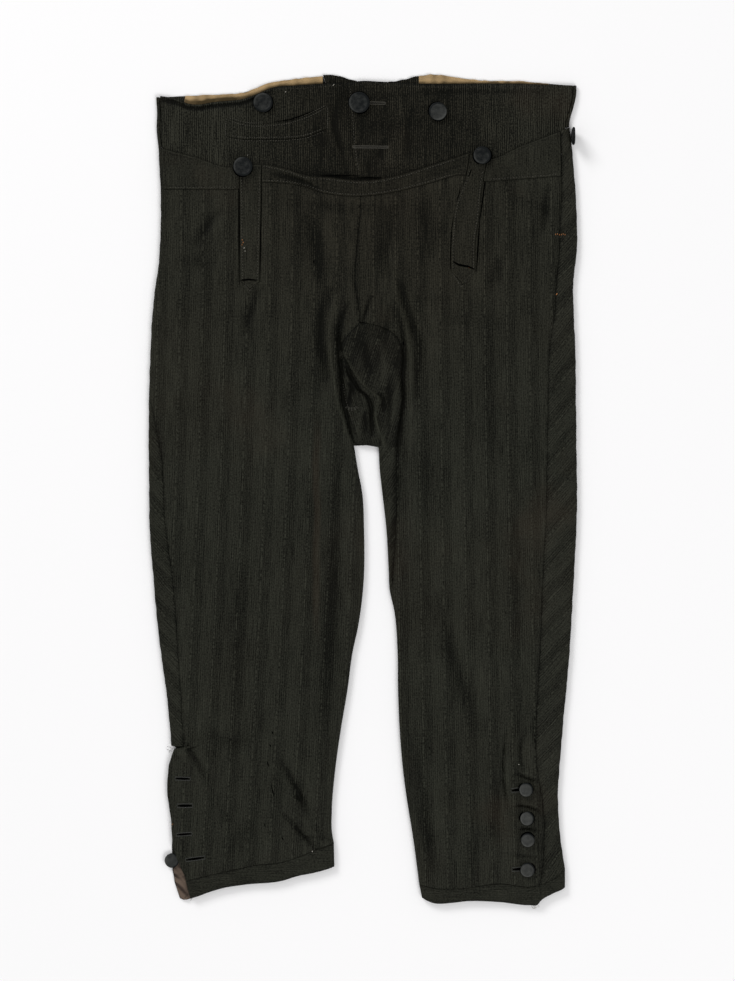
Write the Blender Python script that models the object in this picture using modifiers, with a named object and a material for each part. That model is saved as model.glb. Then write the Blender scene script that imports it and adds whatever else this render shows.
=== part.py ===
"""Narrow-fall knee breeches of ribbed silk, laid flat with the front up.

Every number is in millimetres. X runs to the wearer's left, Y to the waist and Z up, and the cloth lies on
the plane Z = 0. Each leg is a flattened tube: the back panel is the lower layer and turns up round both
edges, and the front panel lies on it as the upper layer.
"""

import math
from collections import namedtuple

import bmesh
import bpy

MM = 0.001

CLOTH = 1.2
BAND_CLOTH = 1.0
GAP = 0.3
BAND_GAP = 0.5
WAIST_GAP = 0.6
LEG_HEIGHT = 5.5
WAIST_HEIGHT = 3.9
LINING_TOP = 2.5
UNDERLAP_TOP = 2.6
ON_TOP = LEG_HEIGHT + GAP + BAND_CLOTH
ON_WAISTBAND = WAIST_HEIGHT + GAP + BAND_CLOTH
SEAM_INSET = 1.0
EDGE_STEPS = 3

CROTCH = 40.0
CENTRE_BACK = 3.0
SEAT_SEAM = 300.0
SEAT_TURN = 4.25
KNEE_OPENING = -233.0
HEM_BENDS_BELOW = -300.0
HEM_ROW = -345.0
TOP_BENDS_ABOVE = 230.0
TOP_ROW = 290.0
LAP_UNDER_FRONT = 13.0

# The fork's lower edge rolls down to this height above the surface, as far as the left leg's inner edge.
FORK_EDGE_UP = 2.2
FORK_ROLL_ENDS = 19.0
FORK_ROLL_FADES = 5.0

# The right waistband sinks under the left one between these X.
UNDERLAP_STARTS = -26.0
UNDERLAP_SETTLES = -18.0

# How far the ends of a knee band slant outwards, from its seam to its hem.
RIGHT_BAND_SLANTS = (4.5, 0.5)
LEFT_BAND_SLANTS = (0.4, 2.5)

Outside = namedtuple("Outside", "y edge seam under")
Inside = namedtuple("Inside", "y edge seam")
Edge = namedtuple("Edge", "x y")
Side = namedtuple("Side", "y x")
Fold = namedtuple("Fold", "y_low y_high x_low x_middle x_high width height")
Roll = namedtuple("Roll", "y drop")
Lining = namedtuple("Lining", "side start end")
Profile = namedtuple("Profile", "across up")
Button = namedtuple("Button", "name x y diameter rests_at")

# Outer edge of each leg; the seam is how far in from that edge it lies on top; under is the edge of the
# lower layer where the knee is open.
RIGHT_OUTSIDE = [
    Outside(-366, -154.0, 0.0, -165.0),
    Outside(-347, -160.5, 0.0, -170.5),
    Outside(-324, -171.0, 0.0, -172.0),
    Outside(-297, -174.0, 0.0, -172.0),
    Outside(-272, -177.0, 0.0, -172.0),
    Outside(-246, -175.0, 0.0, -171.0),
    Outside(KNEE_OPENING, -172.0, 0.0, -170.0),
    Outside(KNEE_OPENING + 4, -172.0, 11.0, -170.0),
    Outside(-198, -175.0, 12.0, -175.0),
    Outside(-144, -182.0, 15.0, -182.0),
    Outside(-72, -189.0, 17.0, -189.0),
    Outside(-18, -192.0, 14.0, -192.0),
    Outside(36, -192.4, 10.5, -192.4),
    Outside(78, -192.6, 4.0, -192.6),
    Outside(126, -191.0, 4.0, -191.0),
    Outside(180, -187.0, 4.0, -187.0),
    Outside(198, -184.0, 4.0, -184.0),
    Outside(252, -182.0, 4.0, -182.0),
    Outside(308, -184.0, 4.0, -184.0),
]
LEFT_OUTSIDE = [
    Outside(-368, 184.0, 26.0, 184.0),
    Outside(-354, 183.6, 24.5, 183.6),
    Outside(-333, 180.5, 18.5, 180.5),
    Outside(-297, 176.5, 13.5, 176.5),
    Outside(-271, 175.5, 15.5, 175.5),
    Outside(-252, 176.5, 20.0, 176.5),
    Outside(-193, 181.5, 25.0, 181.5),
    Outside(-126, 187.0, 27.0, 187.0),
    Outside(-58, 191.0, 28.0, 191.0),
    Outside(-18, 192.6, 27.5, 192.6),
    Outside(36, 192.0, 26.5, 192.0),
    Outside(81, 191.5, 25.0, 191.5),
    Outside(130, 191.0, 23.0, 191.0),
    Outside(176, 189.0, 15.5, 189.0),
    Outside(216, 192.6, 15.5, 192.6),
    Outside(234, 192.6, 15.5, 192.6),
    Outside(270, 191.0, 12.5, 191.0),
    Outside(306, 188.0, 10.0, 188.0),
    Outside(326, 186.0, 8.5, 186.0),
]

# Inner edge of each leg below the crotch, and the inside leg seam or centre front seam, both as X.
RIGHT_INSIDE = [
    Inside(-345, -24.0, -28.0),
    Inside(-324, -25.0, -29.0),
    Inside(-300, -28.0, -32.0),
    Inside(-252, -25.0, -29.0),
    Inside(-180, -14.0, -18.0),
    Inside(-126, -5.0, -9.0),
    Inside(-72, 0.5, -3.5),
    Inside(-18, 1.0, -3.0),
    Inside(18, -4.5, -8.5),
    Inside(CROTCH, -8.0, -12.0),
    Inside(52, -8.0, -13.5),
    Inside(76, -8.0, -18.5),
    Inside(105, -8.0, -20.0),
    Inside(122, -8.0, -21.0),
    Inside(141, -8.0, -14.0),
    Inside(151, -8.0, -2.9),
    Inside(187, -8.0, -8.0),
    Inside(225, -8.0, -5.0),
    Inside(248, -8.0, -2.7),
    Inside(290, -8.0, -2.0),
]
LEFT_INSIDE = [
    Inside(-366, 52.0, 56.0),
    Inside(-342, 49.0, 53.0),
    Inside(-306, 44.0, 48.0),
    Inside(-252, 36.0, 40.0),
    Inside(-180, 31.5, 35.5),
    Inside(-108, 28.0, 32.0),
    Inside(-91, 24.5, 28.5),
    Inside(-45, 21.5, 28.8),
    Inside(9, 16.5, 30.6),
    Inside(36, 14.0, 30.6),
    Inside(82, 14.0, 36.5),
    Inside(105, 14.0, 35.0),
    Inside(122, 14.0, 36.5),
    Inside(138, 14.0, 30.0),
    Inside(148, 14.0, 14.0),
    Inside(151, 14.0, -2.9),
    Inside(187, 14.0, -8.0),
    Inside(225, 14.0, -5.0),
    Inside(248, 14.0, -2.7),
    Inside(290, 14.0, -2.0),
]
CENTRE_BACK_ON_TOP = [
    Side(38, 14.5),
    Side(49, 16.0),
    Side(67, 12.5),
    Side(85, 12.5),
    Side(91, 2.4),
    Side(105, -9.0),
    Side(120, -16.6),
    Side(136, -25.0),
]

# Hems and the seams above the knee bands.
RIGHT_HEM = [
    Edge(-165, -367), Edge(-150, -365.7), Edge(-127, -358), Edge(-72, -351), Edge(-44, -344), Edge(-25, -338)
]
RIGHT_BAND_SEAM = [
    Edge(-170, -352), Edge(-150, -349), Edge(-120, -342), Edge(-77, -335), Edge(-39, -322), Edge(-27, -317)
]
LEFT_HEM = [
    Edge(51, -366), Edge(61, -371), Edge(123, -370.5), Edge(154, -374), Edge(160, -369), Edge(184, -354)
]
LEFT_BAND_SEAM = [
    Edge(47, -353), Edge(61, -357), Edge(89, -358), Edge(121, -353.5), Edge(156, -355.5), Edge(184, -339)
]

# Top of the front: the seam to the waistband at the sides, and the free edge of the fall between.
FRONT_TOP = [
    Edge(-184, 308), Edge(-119, 290), Edge(-95, 293.5), Edge(-68, 288), Edge(-53, 282.6), Edge(-31, 281),
    Edge(3, 278), Edge(31, 282.6), Edge(63, 292.5), Edge(97, 302.4), Edge(113, 298), Edge(142, 309),
    Edge(186, 326),
]
FALL_BAND_LOW = [
    Edge(-96, 277), Edge(-55, 273), Edge(-34, 266.4), Edge(-4, 263.7), Edge(22, 266.4), Edge(82, 282.6)
]
RIGHT_SIDE_BAND_LOW = [Edge(-184, 270), Edge(-111, 270)]
LEFT_SIDE_BAND_LOW = [Edge(112, 277), Edge(190, 282.6)]

# Waistband: the top edges of front, back, lining and gusset, and the lap at the centre front.
WAIST_TOP_RIGHT = [
    Edge(-185, 354.6), Edge(-169, 352), Edge(-148, 346.5), Edge(-108, 351.5), Edge(-82, 362),
    Edge(-36, 365.4), Edge(-16, 366.3), Edge(8, 365),
]
WAIST_TOP_LEFT = [Edge(-15, 366.3), Edge(15, 367.2), Edge(50, 365.4), Edge(168, 364.5), Edge(192, 363.6)]
BACK_TOP = [
    Edge(-186, 353), Edge(-158, 354.5), Edge(-108, 357.4), Edge(-89, 365), Edge(-69, 368.6), Edge(-36, 372.3),
    Edge(51, 372.3), Edge(59, 373.6), Edge(83, 371.3), Edge(104, 368.6), Edge(142, 367.6), Edge(190, 363.6),
]
GUSSET_TOP = [
    Edge(-36, 373.5), Edge(-23, 372.6), Edge(-7, 368), Edge(13, 366.3), Edge(34, 368.5), Edge(50, 372.6)
]
BACK_TOP_AT_GUSSET = 372.3
LINING_STANDS_UP = 0.4
GUSSET_RIGHT_SIDE = [Side(SEAT_SEAM, -7.7), Side(373, -36.3)]
GUSSET_LEFT_SIDE = [Side(SEAT_SEAM, 10.3), Side(373, 50.3)]
WAIST_LAP = [Side(262, -5.0), Side(283, -6.3), Side(309, -9.9), Side(334, -11.7), Side(366, -14.4)]
WAIST_OUTSIDE_RIGHT = [Side(290, -182), Side(308, -184.0), Side(355, -186.0)]
WAIST_OUTSIDE_LEFT = [Side(290, 185.6), Side(330, 185.6), Side(364, 192.0)]
UNDERLAP_END = 8.0
SIDE_TOP_RIGHT = 308.0
SIDE_TOP_LEFT = 326.0

# Linings: the waist pieces from one X to another, and the piece inside the right knee.
LINING_DEPTH = 30.0
WAIST_LININGS = [Lining("right", -178.0, -36.3), Lining("left", 50.3, 184.0)]
KNEE_LINING_TOP = -341.0
KNEE_LINING_SIDES = (0.6, 18.0)
KNEE_LINING_ABOVE_HEM = 0.5

# Placket strips down the two slits, from the point at the bottom to the top of the fall.
PLACKET_RIGHT = [Side(186, -110.0), Side(294, -111.0)]
PLACKET_RIGHT_INNER = [Side(186, -93.0), Side(294, -91.0)]
PLACKET_LEFT = [Side(196, 79.0), Side(228, 79.6), Side(255, 83.0), Side(283, 93.0), Side(303, 96.0)]
PLACKET_LEFT_OUTER = [
    Side(196, 101.0), Side(223, 101.0), Side(245, 104.4), Side(264, 106.0), Side(303, 112.0)
]
PLACKET_POINT_RIGHT = Edge(-101.7, 180)
PLACKET_POINT_LEFT = Edge(88.0, 184)
PLACKET_RIGHT_ROWS = (186, 215, 240, 270, 290)
PLACKET_LEFT_ROWS = (196, 228, 255, 283, 299)
PLACKET_POINT_PULL = 0.2
SLIT_WIDTH = 0.6
SLIT_CUTTER_HEIGHT = 4 * CLOTH
SLIT_RIGHT = [Side(189, -111.6), Side(300, -111.6)]
SLIT_LEFT = [Side(203, 101.8), Side(245, 105.2), Side(310, 113.5)]

FOB_ENDS = (-122.0, -33.0)
FOB_TOP = [Edge(-122, 333), Edge(-102, 329), Edge(-68, 331), Edge(-52, 336), Edge(-33, 345)]
FOB_LOW = [Edge(-122, 317), Edge(-84, 315), Edge(-53, 317), Edge(-31, 325)]

# Folds of the upper layer: ridges are above the cloth and troughs below it.
FOLDS = [
    Fold(44, 196, -18, -30, -19, 5.0, 4.5),
    Fold(100, 176, -39, -41, -37, 4.5, -1.6),
    Fold(36, 190, 38, 43, 29, 5.0, 4.5),
    Fold(110, 204, 52, 50, 38, 4.5, -1.6),
    Fold(40, 168, -13, -23, -10, 3.5, -2.4),
    Fold(-90, 166, 26, 36, 30, 3.5, -2.4),
    Fold(-225, 45, -38, -27, -22, 9.0, -1.5),
    Fold(-290, -240, -52, -62, -76, 7.0, -1.6),
    Fold(-322, -296, -38, -52, -68, 6.0, -1.6),
    Fold(-245, -214, -146, -154, -165, 6.0, -1.4),
    Fold(-224, -96, 102, 84, 62, 9.0, -1.8),
    Fold(-345, -216, 63, 52, 45, 7.0, -1.6),
    Fold(138, 182, -106, -102, -93, 5.0, -1.5),
    Fold(220, 248, -150, -141, -131, 7.0, -1.3),
    Fold(186, 210, 122, 122, 123, 5.0, -1.3),
    Fold(232, 274, 162, 165, 166, 5.0, -1.4),
]

FRONT_ROWS = (
    HEM_ROW, -330, -318, -300, -284, -268, -252, KNEE_OPENING, KNEE_OPENING + 4, -205, -170, -130, -92, -45,
    9, CROTCH, 52, 64, 76, 91, 105, 118, 132, 141, 148, 151, 170, 187, 205, TOP_BENDS_ABOVE, 250, 272,
    TOP_ROW,
)
FRONT_COLUMNS = (0, 0.03, 0.06, 0.1, 0.15, 0.21, 0.3, 0.42, 0.55, 0.68, 0.8, 0.91, 1)
BOTTOM_SHARES = (0.35, 0.7)
FORK_ROWS = (52, 64, 76, 91, 105, 118)
FORK_ARCH_ROWS = (132, 141, 147.6)
UNDERLAP_COLUMNS = (0, 0.15, 0.3, 0.45, 0.6, 0.75, 0.81, 0.86, 0.93, 1)

BUTTON_PROFILE = [
    Profile(0.0, 0.72), Profile(0.5, 0.78), Profile(0.78, 0.98), Profile(0.9, 0.95), Profile(1.0, 0.6),
    Profile(0.92, 0.28), Profile(0.5, 0.0), Profile(0.0, 0.0),
]
BUTTON_STEPS = 20
BUTTON_THICKNESS = 3.4
KNEE_BUTTON_THICKNESS = 2.6
HIP_BUTTON = Button("hip_button", 186.9, 317.7, 16.0, 8.4)
BUTTONS = [
    Button("waist_button_right", -89.8, 347.9, 17.5, WAIST_HEIGHT),
    Button("waist_button_centre", -3.5, 347.9, 19.0, WAIST_HEIGHT),
    Button("waist_button_left", 67.3, 340.0, 16.5, WAIST_HEIGHT),
    Button("fall_button_right", -107.7, 290.3, 17.5, ON_TOP),
    Button("fall_button_left", 106.9, 300.4, 16.0, ON_TOP),
    Button("knee_button_left_1", 146.3, -268.9, 12.5, LEG_HEIGHT),
    Button("knee_button_left_2", 147.2, -294.8, 12.5, LEG_HEIGHT),
    Button("knee_button_left_3", 147.9, -314.1, 12.5, LEG_HEIGHT),
    Button("knee_button_left_4", 147.6, -340.9, 13.0, LEG_HEIGHT),
]
KNEE_BUTTON_RIGHT = Button("knee_button_right", -171.8, -333.0, 13.0, CLOTH)


def read(table, place, column):
    """A column's value at a place between two rows, in a straight line; past the ends it keeps its value."""
    low = table[0]
    if place <= low[0]:
        return getattr(low, column)
    for high in table[1:]:
        if place <= high[0]:
            share = (place - low[0]) / (high[0] - low[0])
            return getattr(low, column) * (1 - share) + getattr(high, column) * share
        low = high
    return getattr(low, column)


def fold_height(x, y):
    """How far the folds lift or sink the upper layer at a point."""
    total = 0.0
    for fold in FOLDS:
        if not fold.y_low < y < fold.y_high:
            continue
        share = (y - fold.y_low) / (fold.y_high - fold.y_low)
        bend = 4 * share * (1 - share)
        straight = fold.x_low * (1 - share) + fold.x_high * share
        middle = fold.x_middle - (fold.x_low + fold.x_high) / 2
        across = (x - straight - middle * bend) / fold.width
        total += fold.height * math.sqrt(bend) * math.exp(-across * across)
    return total


def upper_layer(x, y):
    return LEG_HEIGHT + fold_height(x, y)


def row_place(row, low, high):
    """The true Y of a nominal row, which bends towards the hem below and the top edge above."""
    if row < HEM_BENDS_BELOW:
        share = (HEM_BENDS_BELOW - row) / (HEM_BENDS_BELOW - HEM_ROW)
        return HEM_BENDS_BELOW * (1 - share) + low * share
    if row > TOP_BENDS_ABOVE:
        share = (row - TOP_BENDS_ABOVE) / (TOP_ROW - TOP_BENDS_ABOVE)
        return TOP_BENDS_ABOVE * (1 - share) + high * share
    return row


def edge_line(table, shift=0.0):
    return lambda x: read(table, x, "y") + shift


def side_line(table, shift=0.0, column="x"):
    return lambda y: read(table, y, column) + shift


def lay_out(left, right, low, high, columns, rows, height, nominal=False):
    """Rows of points of a piece that lies between two side lines and two edge lines."""
    points = []
    for row in rows:
        line = []
        for share in columns:
            y = row if nominal else low(0) * (1 - row) + high(0) * row
            x = 0.0
            for _ in range(8):
                x = left(y) * (1 - share) + right(y) * share
                y = row_place(row, low(x), high(x)) if nominal else low(x) * (1 - row) + high(x) * row
            line.append((x, y, height(x, y)))
        points.append(line)
    return points


def even(count):
    return [step / count for step in range(count + 1)]


def ring_point(outer, inner, height, way_round):
    """(X, Z) of a flattened tube, at a distance round it from where its top meets the outer edge's turn."""
    radius = height / 2
    towards = 1 if outer > inner else -1
    turn = math.pi * radius
    flat = abs(outer - inner) - height
    place = way_round % (2 * (turn + flat))
    if place < turn:
        angle = place / radius
        return outer - towards * radius * (1 - math.sin(angle)), radius * (1 + math.cos(angle))
    if place < turn + flat:
        return outer - towards * (radius + place - turn), 0.0
    if place < 2 * turn + flat:
        angle = (place - turn - flat) / radius
        return inner + towards * radius * (1 - math.sin(angle)), radius * (1 - math.cos(angle))
    return inner + towards * (radius + place - 2 * turn - flat), height


def material(name, colour, roughness):
    made = bpy.data.materials.new(name)
    made.use_nodes = True
    shader = made.node_tree.nodes["Principled BSDF"]
    shader.inputs["Base Color"].default_value = (*colour, 1)
    shader.inputs["Roughness"].default_value = roughness
    shader.inputs["Metallic"].default_value = 0
    return made


def add_object(name, mesh, finish):
    made = bpy.data.objects.new(name, mesh)
    mesh.materials.append(finish)
    breeches.objects.link(made)
    return made


def sheet(name, points, finish, thickness=CLOTH, middle=-1000.0):
    """A wall of cloth: a grid laid on the rows of points, its thickness towards the middle height."""
    wide = len(points[0]) - 1
    shell = bmesh.new()
    bmesh.ops.create_grid(shell, x_segments=wide, y_segments=len(points) - 1, size=1)
    places = [place for row in points for place in row]
    shell.verts.ensure_lookup_table()
    absent = []
    for vertex, place in zip(shell.verts, places, strict=True):
        if place is None:
            absent.append(vertex)
        else:
            vertex.co = [value * MM for value in place]
    bmesh.ops.delete(shell, geom=absent, context="VERTS")
    shell.normal_update()
    facing = sum(
        face.normal.z * face.calc_area() * (face.calc_center_median().z - middle * MM) for face in shell.faces
    )
    if facing < 0:
        bmesh.ops.reverse_faces(shell, faces=shell.faces)
    mesh = bpy.data.meshes.new(name)
    shell.to_mesh(mesh)
    shell.free()
    made = add_object(name, mesh, finish)
    wall = made.modifiers.new("wall", "SOLIDIFY")
    wall.thickness = thickness * MM
    wall.offset = -1
    return made


def cut_slit(panel, line):
    """Opens a narrow slit from a point on a panel up past its top edge, along a side line."""
    shell = bmesh.new()
    rows = [(place.x, place.y) for place in line]
    bmesh.ops.create_cube(shell, size=1)
    bmesh.ops.subdivide_edges(
        shell,
        edges=[edge for edge in shell.edges if abs((edge.verts[0].co - edge.verts[1].co).y) > 0.5],
        cuts=len(rows) - 2,
    )
    for vertex in shell.verts:
        step = round((vertex.co.y + 0.5) * (len(rows) - 1))
        x, y = rows[step]
        vertex.co = (
            (x + vertex.co.x * SLIT_WIDTH) * MM,
            y * MM,
            (LEG_HEIGHT - CLOTH / 2 + vertex.co.z * SLIT_CUTTER_HEIGHT) * MM,
        )
    mesh = bpy.data.meshes.new(panel.name + "_slit")
    shell.to_mesh(mesh)
    shell.free()
    cutter = bpy.data.objects.new(mesh.name, mesh)
    cutter.hide_render = True
    cutter.display_type = "WIRE"
    cutters.objects.link(cutter)
    cut = panel.modifiers.new("slit", "BOOLEAN")
    cut.operation = "DIFFERENCE"
    cut.object = cutter


def outside_seam(table, shift=0.0):
    """X of the outer seam of a leg, on the upper layer."""
    towards = 1 if table[0].edge > 0 else -1
    return lambda y: read(table, y, "edge") - towards * read(table, y, "seam") + shift


def front_rows(outside, inside, band_seam):
    towards = 1 if outside[0].edge > 0 else -1
    return lay_out(
        side_line(inside, towards * GAP / 2, "seam"),
        outside_seam(outside, -towards * GAP / 2),
        edge_line(band_seam, GAP / 2),
        edge_line(FRONT_TOP),
        FRONT_COLUMNS,
        FRONT_ROWS,
        upper_layer,
        nominal=True,
    )


def wrapped_row(outer, inner, outer_seam, inner_seam, radius):
    """Ways round the tube of one row of a back panel, from its seam on the outer edge to its inner seam."""
    turn = math.pi * radius
    flat = abs(outer - inner) - 2 * radius
    start = -(outer_seam - radius - GAP / 2)
    end = 2 * turn + flat + inner_seam - radius - GAP / 2
    outer_turn = [turn * step / EDGE_STEPS for step in range(EDGE_STEPS + 1)]
    bottom = [turn + SEAT_TURN + (flat - SEAT_TURN) * share for share in (0, *BOTTOM_SHARES)]
    inner_turn = [turn + flat + turn * step / EDGE_STEPS for step in range(EDGE_STEPS + 1)]
    return [start, start / 2] + outer_turn, bottom, inner_turn + [(2 * turn + flat + end) / 2, end]


def seam_place(row, outside_line, low, high):
    """The true Y at which a nominal row meets a side line."""
    y = row
    for _ in range(8):
        x = outside_line(y)
        y = row_place(row, low(x), high(x))
    return y


def back_rows(outside, inside, band_seam):
    """The lower layer and both edges of a leg. The knee may be open at the outer edge, and above the crotch
    the panel ends at the centre back."""
    towards = 1 if outside[0].edge > 0 else -1
    radius = LEG_HEIGHT / 2
    centre = CENTRE_BACK + towards * GAP / 2
    open_knee = outside[0].seam == 0
    low = edge_line(band_seam, GAP / 2)
    side_top = edge_line(FRONT_TOP)
    rows = []
    for row in FRONT_ROWS:
        outer_y = seam_place(row, outside_seam(outside), low, side_top)
        inner_y = seam_place(row, side_line(inside, 0, "seam"), low, side_top)
        outer = read(outside, outer_y, "edge")
        inner = read(inside, inner_y, "edge")
        outer_seam = max(read(outside, outer_y, "seam"), radius + SEAM_INSET)
        inner_seam = abs(read(inside, inner_y, "seam") - inner)
        knee_is_open = open_knee and row <= KNEE_OPENING
        in_seat = row > CROTCH
        if in_seat:
            inner = centre - towards * radius
            inner_seam = radius + SEAM_INSET
        upper, bottom, lower = wrapped_row(outer, inner, outer_seam, inner_seam, radius)
        line = []
        for number, place in enumerate(upper + bottom + lower):
            x, z = ring_point(outer, inner, LEG_HEIGHT, place)
            if knee_is_open and number < len(upper):
                x, z = read(outside, outer_y, "under"), 0.0
            seat_top = SEAT_SEAM - GAP / 2
            high = side_top(x) if number < len(upper) else seat_top
            y = row_place(row, low(x), high)
            if z == LEG_HEIGHT:
                z += fold_height(x, y)
            absent = knee_is_open and number < len(upper) - 1
            absent = absent or (in_seat and number > len(upper) + len(bottom))
            line.append(None if absent else (x, y, z))
        rows.append(line)
    return rows


def knee_band_rows(front_row, back_row, hem, slants):
    """One strip round the leg below the panels, from the edge of the front flap to the lower layer's edge."""
    outer_slant, inner_slant = slants
    around = [place for place in front_row[::-1] + back_row[::-1] if place]
    outer_x = front_row[-1][0]
    inner_x = front_row[0][0]
    rows = []
    for share in even(2):
        line = []
        for x, y, z in around:
            part = (x - inner_x) / (outer_x - inner_x)
            low_x = x + outer_slant * part + inner_slant * (1 - part)
            low_y = read(hem, low_x, "y")
            line.append((low_x * (1 - share) + x * share, low_y * (1 - share) + (y - BAND_GAP) * share, z))
        rows.append(line)
    return rows


def leg(side, outside, inside, band_seam, hem, band_slants):
    front = front_rows(outside, inside, band_seam)
    back = back_rows(outside, inside, band_seam)
    band = knee_band_rows(front[0], back[0], hem, band_slants)
    middle = LEG_HEIGHT / 2
    sheet("back_" + side, back, silk, middle=middle)
    sheet("knee_band_" + side, band, silk, middle=middle)
    return sheet("front_" + side, front, silk)


def fork(name, left, right, rows):
    """Seat cloth that comes up through the fork on to the upper layer. Its lower edge rolls down over the
    crotch, except where it runs on into the left leg."""
    lip = LEG_HEIGHT - FORK_EDGE_UP
    points = []
    for row, drop in rows:
        line = []
        for share in even(5):
            x = left(row) * (1 - share) + right(row) * share
            rolls = min(max((FORK_ROLL_ENDS - x) / FORK_ROLL_FADES, 0.0), 1.0)
            line.append((x, row, upper_layer(x, row) - drop * rolls * lip))
        points.append(line)
    return sheet(name, points, silk)


def back_waistband(name, outside, gusset_side, side_top, towards):
    """Lower layer of the waistband, from the gusset round the side edge to the seam on top of it."""
    radius = WAIST_HEIGHT / 2
    turn = math.pi * radius
    clear = LEG_HEIGHT / 2 + GAP
    rows = []
    for share in even(3):
        line = []
        row = SEAT_SEAM + (BACK_TOP_AT_GUSSET - SEAT_SEAM) * share
        outer = read(outside, side_top * (1 - share) + outside[-1].y * share, "x")
        inner = read(gusset_side, row, "x") + towards * GAP / 2
        flat = abs(outer - inner) - radius
        low_side = side_top + GAP
        places = [-SEAM_INSET + GAP / 2] + [turn * step / EDGE_STEPS for step in range(EDGE_STEPS + 1)]
        first = turn + clear - radius
        second = first + SEAT_TURN
        places += [first, second] + [second + (turn + flat - second) * part for part in (0.25, 0.5, 0.75, 1)]
        for number, place in enumerate(places):
            x, z = ring_point(outer, inner - towards * radius, WAIST_HEIGHT, place)
            low = low_side if place <= first else SEAT_SEAM + GAP / 2
            high = read(BACK_TOP, x, "y")
            if number <= EDGE_STEPS + 1:
                high = min(high, read(BACK_TOP, outer - towards * radius, "y"))
            line.append((x, low * (1 - share) + high * share, z))
        rows.append(line)
    return sheet(name, rows, silk, BAND_CLOTH, radius)


def front_waistband(name, left, right, top, columns):
    def height(x, y):
        if name == "waistband_front_right":
            sink = min(max((x - UNDERLAP_STARTS) / (UNDERLAP_SETTLES - UNDERLAP_STARTS), 0.0), 1.0)
            return WAIST_HEIGHT - sink * (WAIST_HEIGHT - UNDERLAP_TOP)
        return WAIST_HEIGHT

    def low(x):
        return read(FRONT_TOP, x, "y") - LAP_UNDER_FRONT

    points = lay_out(left, right, low, edge_line(top), columns, even(5), height)
    return sheet(name, points, silk, BAND_CLOTH)


def placket(name, left, right, point, rows):
    """A strip over the slit of the fall, with a pointed lower end."""
    points = []
    for y in rows:
        line = []
        for share in even(4):
            x = left(y) * (1 - share) + right(y) * share
            drop = 1 - abs(share - 0.5) * 2 if y == rows[0] else 0.0
            pulled = x + (point.x - x) * drop * PLACKET_POINT_PULL
            line.append((pulled, y + (point.y - y) * drop, ON_TOP + fold_height(x, y)))
        points.append(line)
    return sheet(name, points, silk, BAND_CLOTH)


def button(place, thickness=BUTTON_THICKNESS):
    """A covered button: a turned mould with a raised rim, dished a little in the middle."""
    profile = bmesh.new()
    corners = [
        profile.verts.new((point.across * place.diameter / 2 * MM, 0, point.up * thickness * MM))
        for point in BUTTON_PROFILE
    ]
    for first, second in zip(corners, corners[1:]):
        profile.edges.new((first, second))
    mesh = bpy.data.meshes.new(place.name)
    profile.to_mesh(mesh)
    profile.free()
    made = add_object(place.name, mesh, covered)
    made.location = (place.x * MM, place.y * MM, (place.rests_at + GAP) * MM)
    turned = made.modifiers.new("turned", "SCREW")
    turned.steps = turned.render_steps = BUTTON_STEPS
    turned.use_merge_vertices = True
    turned.merge_threshold = 0.00001
    return made


for old in list(bpy.data.objects):
    bpy.data.objects.remove(old, do_unlink=True)
breeches = bpy.data.collections.new("knee_breeches")
cutters = bpy.data.collections.new("cutters")
bpy.context.scene.collection.children.link(breeches)
bpy.context.scene.collection.children.link(cutters)
silk = material("silk", (0.02, 0.02, 0.016), 0.62)
covered = material("covered_button", (0.012, 0.013, 0.014), 0.5)
cotton = material("tan_cotton", (0.45, 0.28, 0.11), 0.85)

front_right = leg("right", RIGHT_OUTSIDE, RIGHT_INSIDE, RIGHT_BAND_SEAM, RIGHT_HEM, RIGHT_BAND_SLANTS)
front_left = leg("left", LEFT_OUTSIDE, LEFT_INSIDE, LEFT_BAND_SEAM, LEFT_HEM, LEFT_BAND_SLANTS)
cut_slit(front_right, SLIT_RIGHT)
cut_slit(front_left, SLIT_LEFT)

FORK_ROLL = [Roll(CROTCH + GAP, 1.0), Roll(CROTCH + 1, 0.5), Roll(CROTCH + 2.5, 0.1), Roll(CROTCH + 5, 0.0)]
fork_rows = FORK_ROLL + [Roll(row, 0.0) for row in FORK_ROWS]
fork(
    "fork_right",
    side_line(RIGHT_INSIDE, GAP / 2, "seam"),
    side_line(CENTRE_BACK_ON_TOP, -GAP / 2),
    fork_rows,
)
fork(
    "fork_left",
    lambda y: max(side_line(CENTRE_BACK_ON_TOP, GAP / 2)(y), side_line(RIGHT_INSIDE, GAP / 2, "seam")(y)),
    side_line(LEFT_INSIDE, -GAP / 2, "seam"),
    fork_rows + [Roll(row, 0.0) for row in FORK_ARCH_ROWS],
)

front_waistband(
    "waistband_front_right",
    lambda y: read(WAIST_OUTSIDE_RIGHT, y, "x") + WAIST_HEIGHT / 2 + SEAM_INSET + WAIST_GAP,
    lambda y: UNDERLAP_END,
    WAIST_TOP_RIGHT,
    UNDERLAP_COLUMNS,
)
front_waistband(
    "waistband_front_left",
    side_line(WAIST_LAP),
    lambda y: read(WAIST_OUTSIDE_LEFT, y, "x") - WAIST_HEIGHT / 2 - SEAM_INSET - WAIST_GAP,
    WAIST_TOP_LEFT,
    even(9),
)
back_waistband("waistband_back_right", WAIST_OUTSIDE_RIGHT, GUSSET_RIGHT_SIDE, SIDE_TOP_RIGHT, -1)
back_waistband("waistband_back_left", WAIST_OUTSIDE_LEFT, GUSSET_LEFT_SIDE, SIDE_TOP_LEFT, 1)
sheet(
    "back_gusset",
    lay_out(
        side_line(GUSSET_RIGHT_SIDE, GAP / 2),
        side_line(GUSSET_LEFT_SIDE, -GAP / 2),
        lambda x: SEAT_SEAM + GAP / 2,
        edge_line(GUSSET_TOP),
        even(6),
        even(3),
        lambda x, y: BAND_CLOTH,
    ),
    silk,
    BAND_CLOTH,
)
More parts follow.
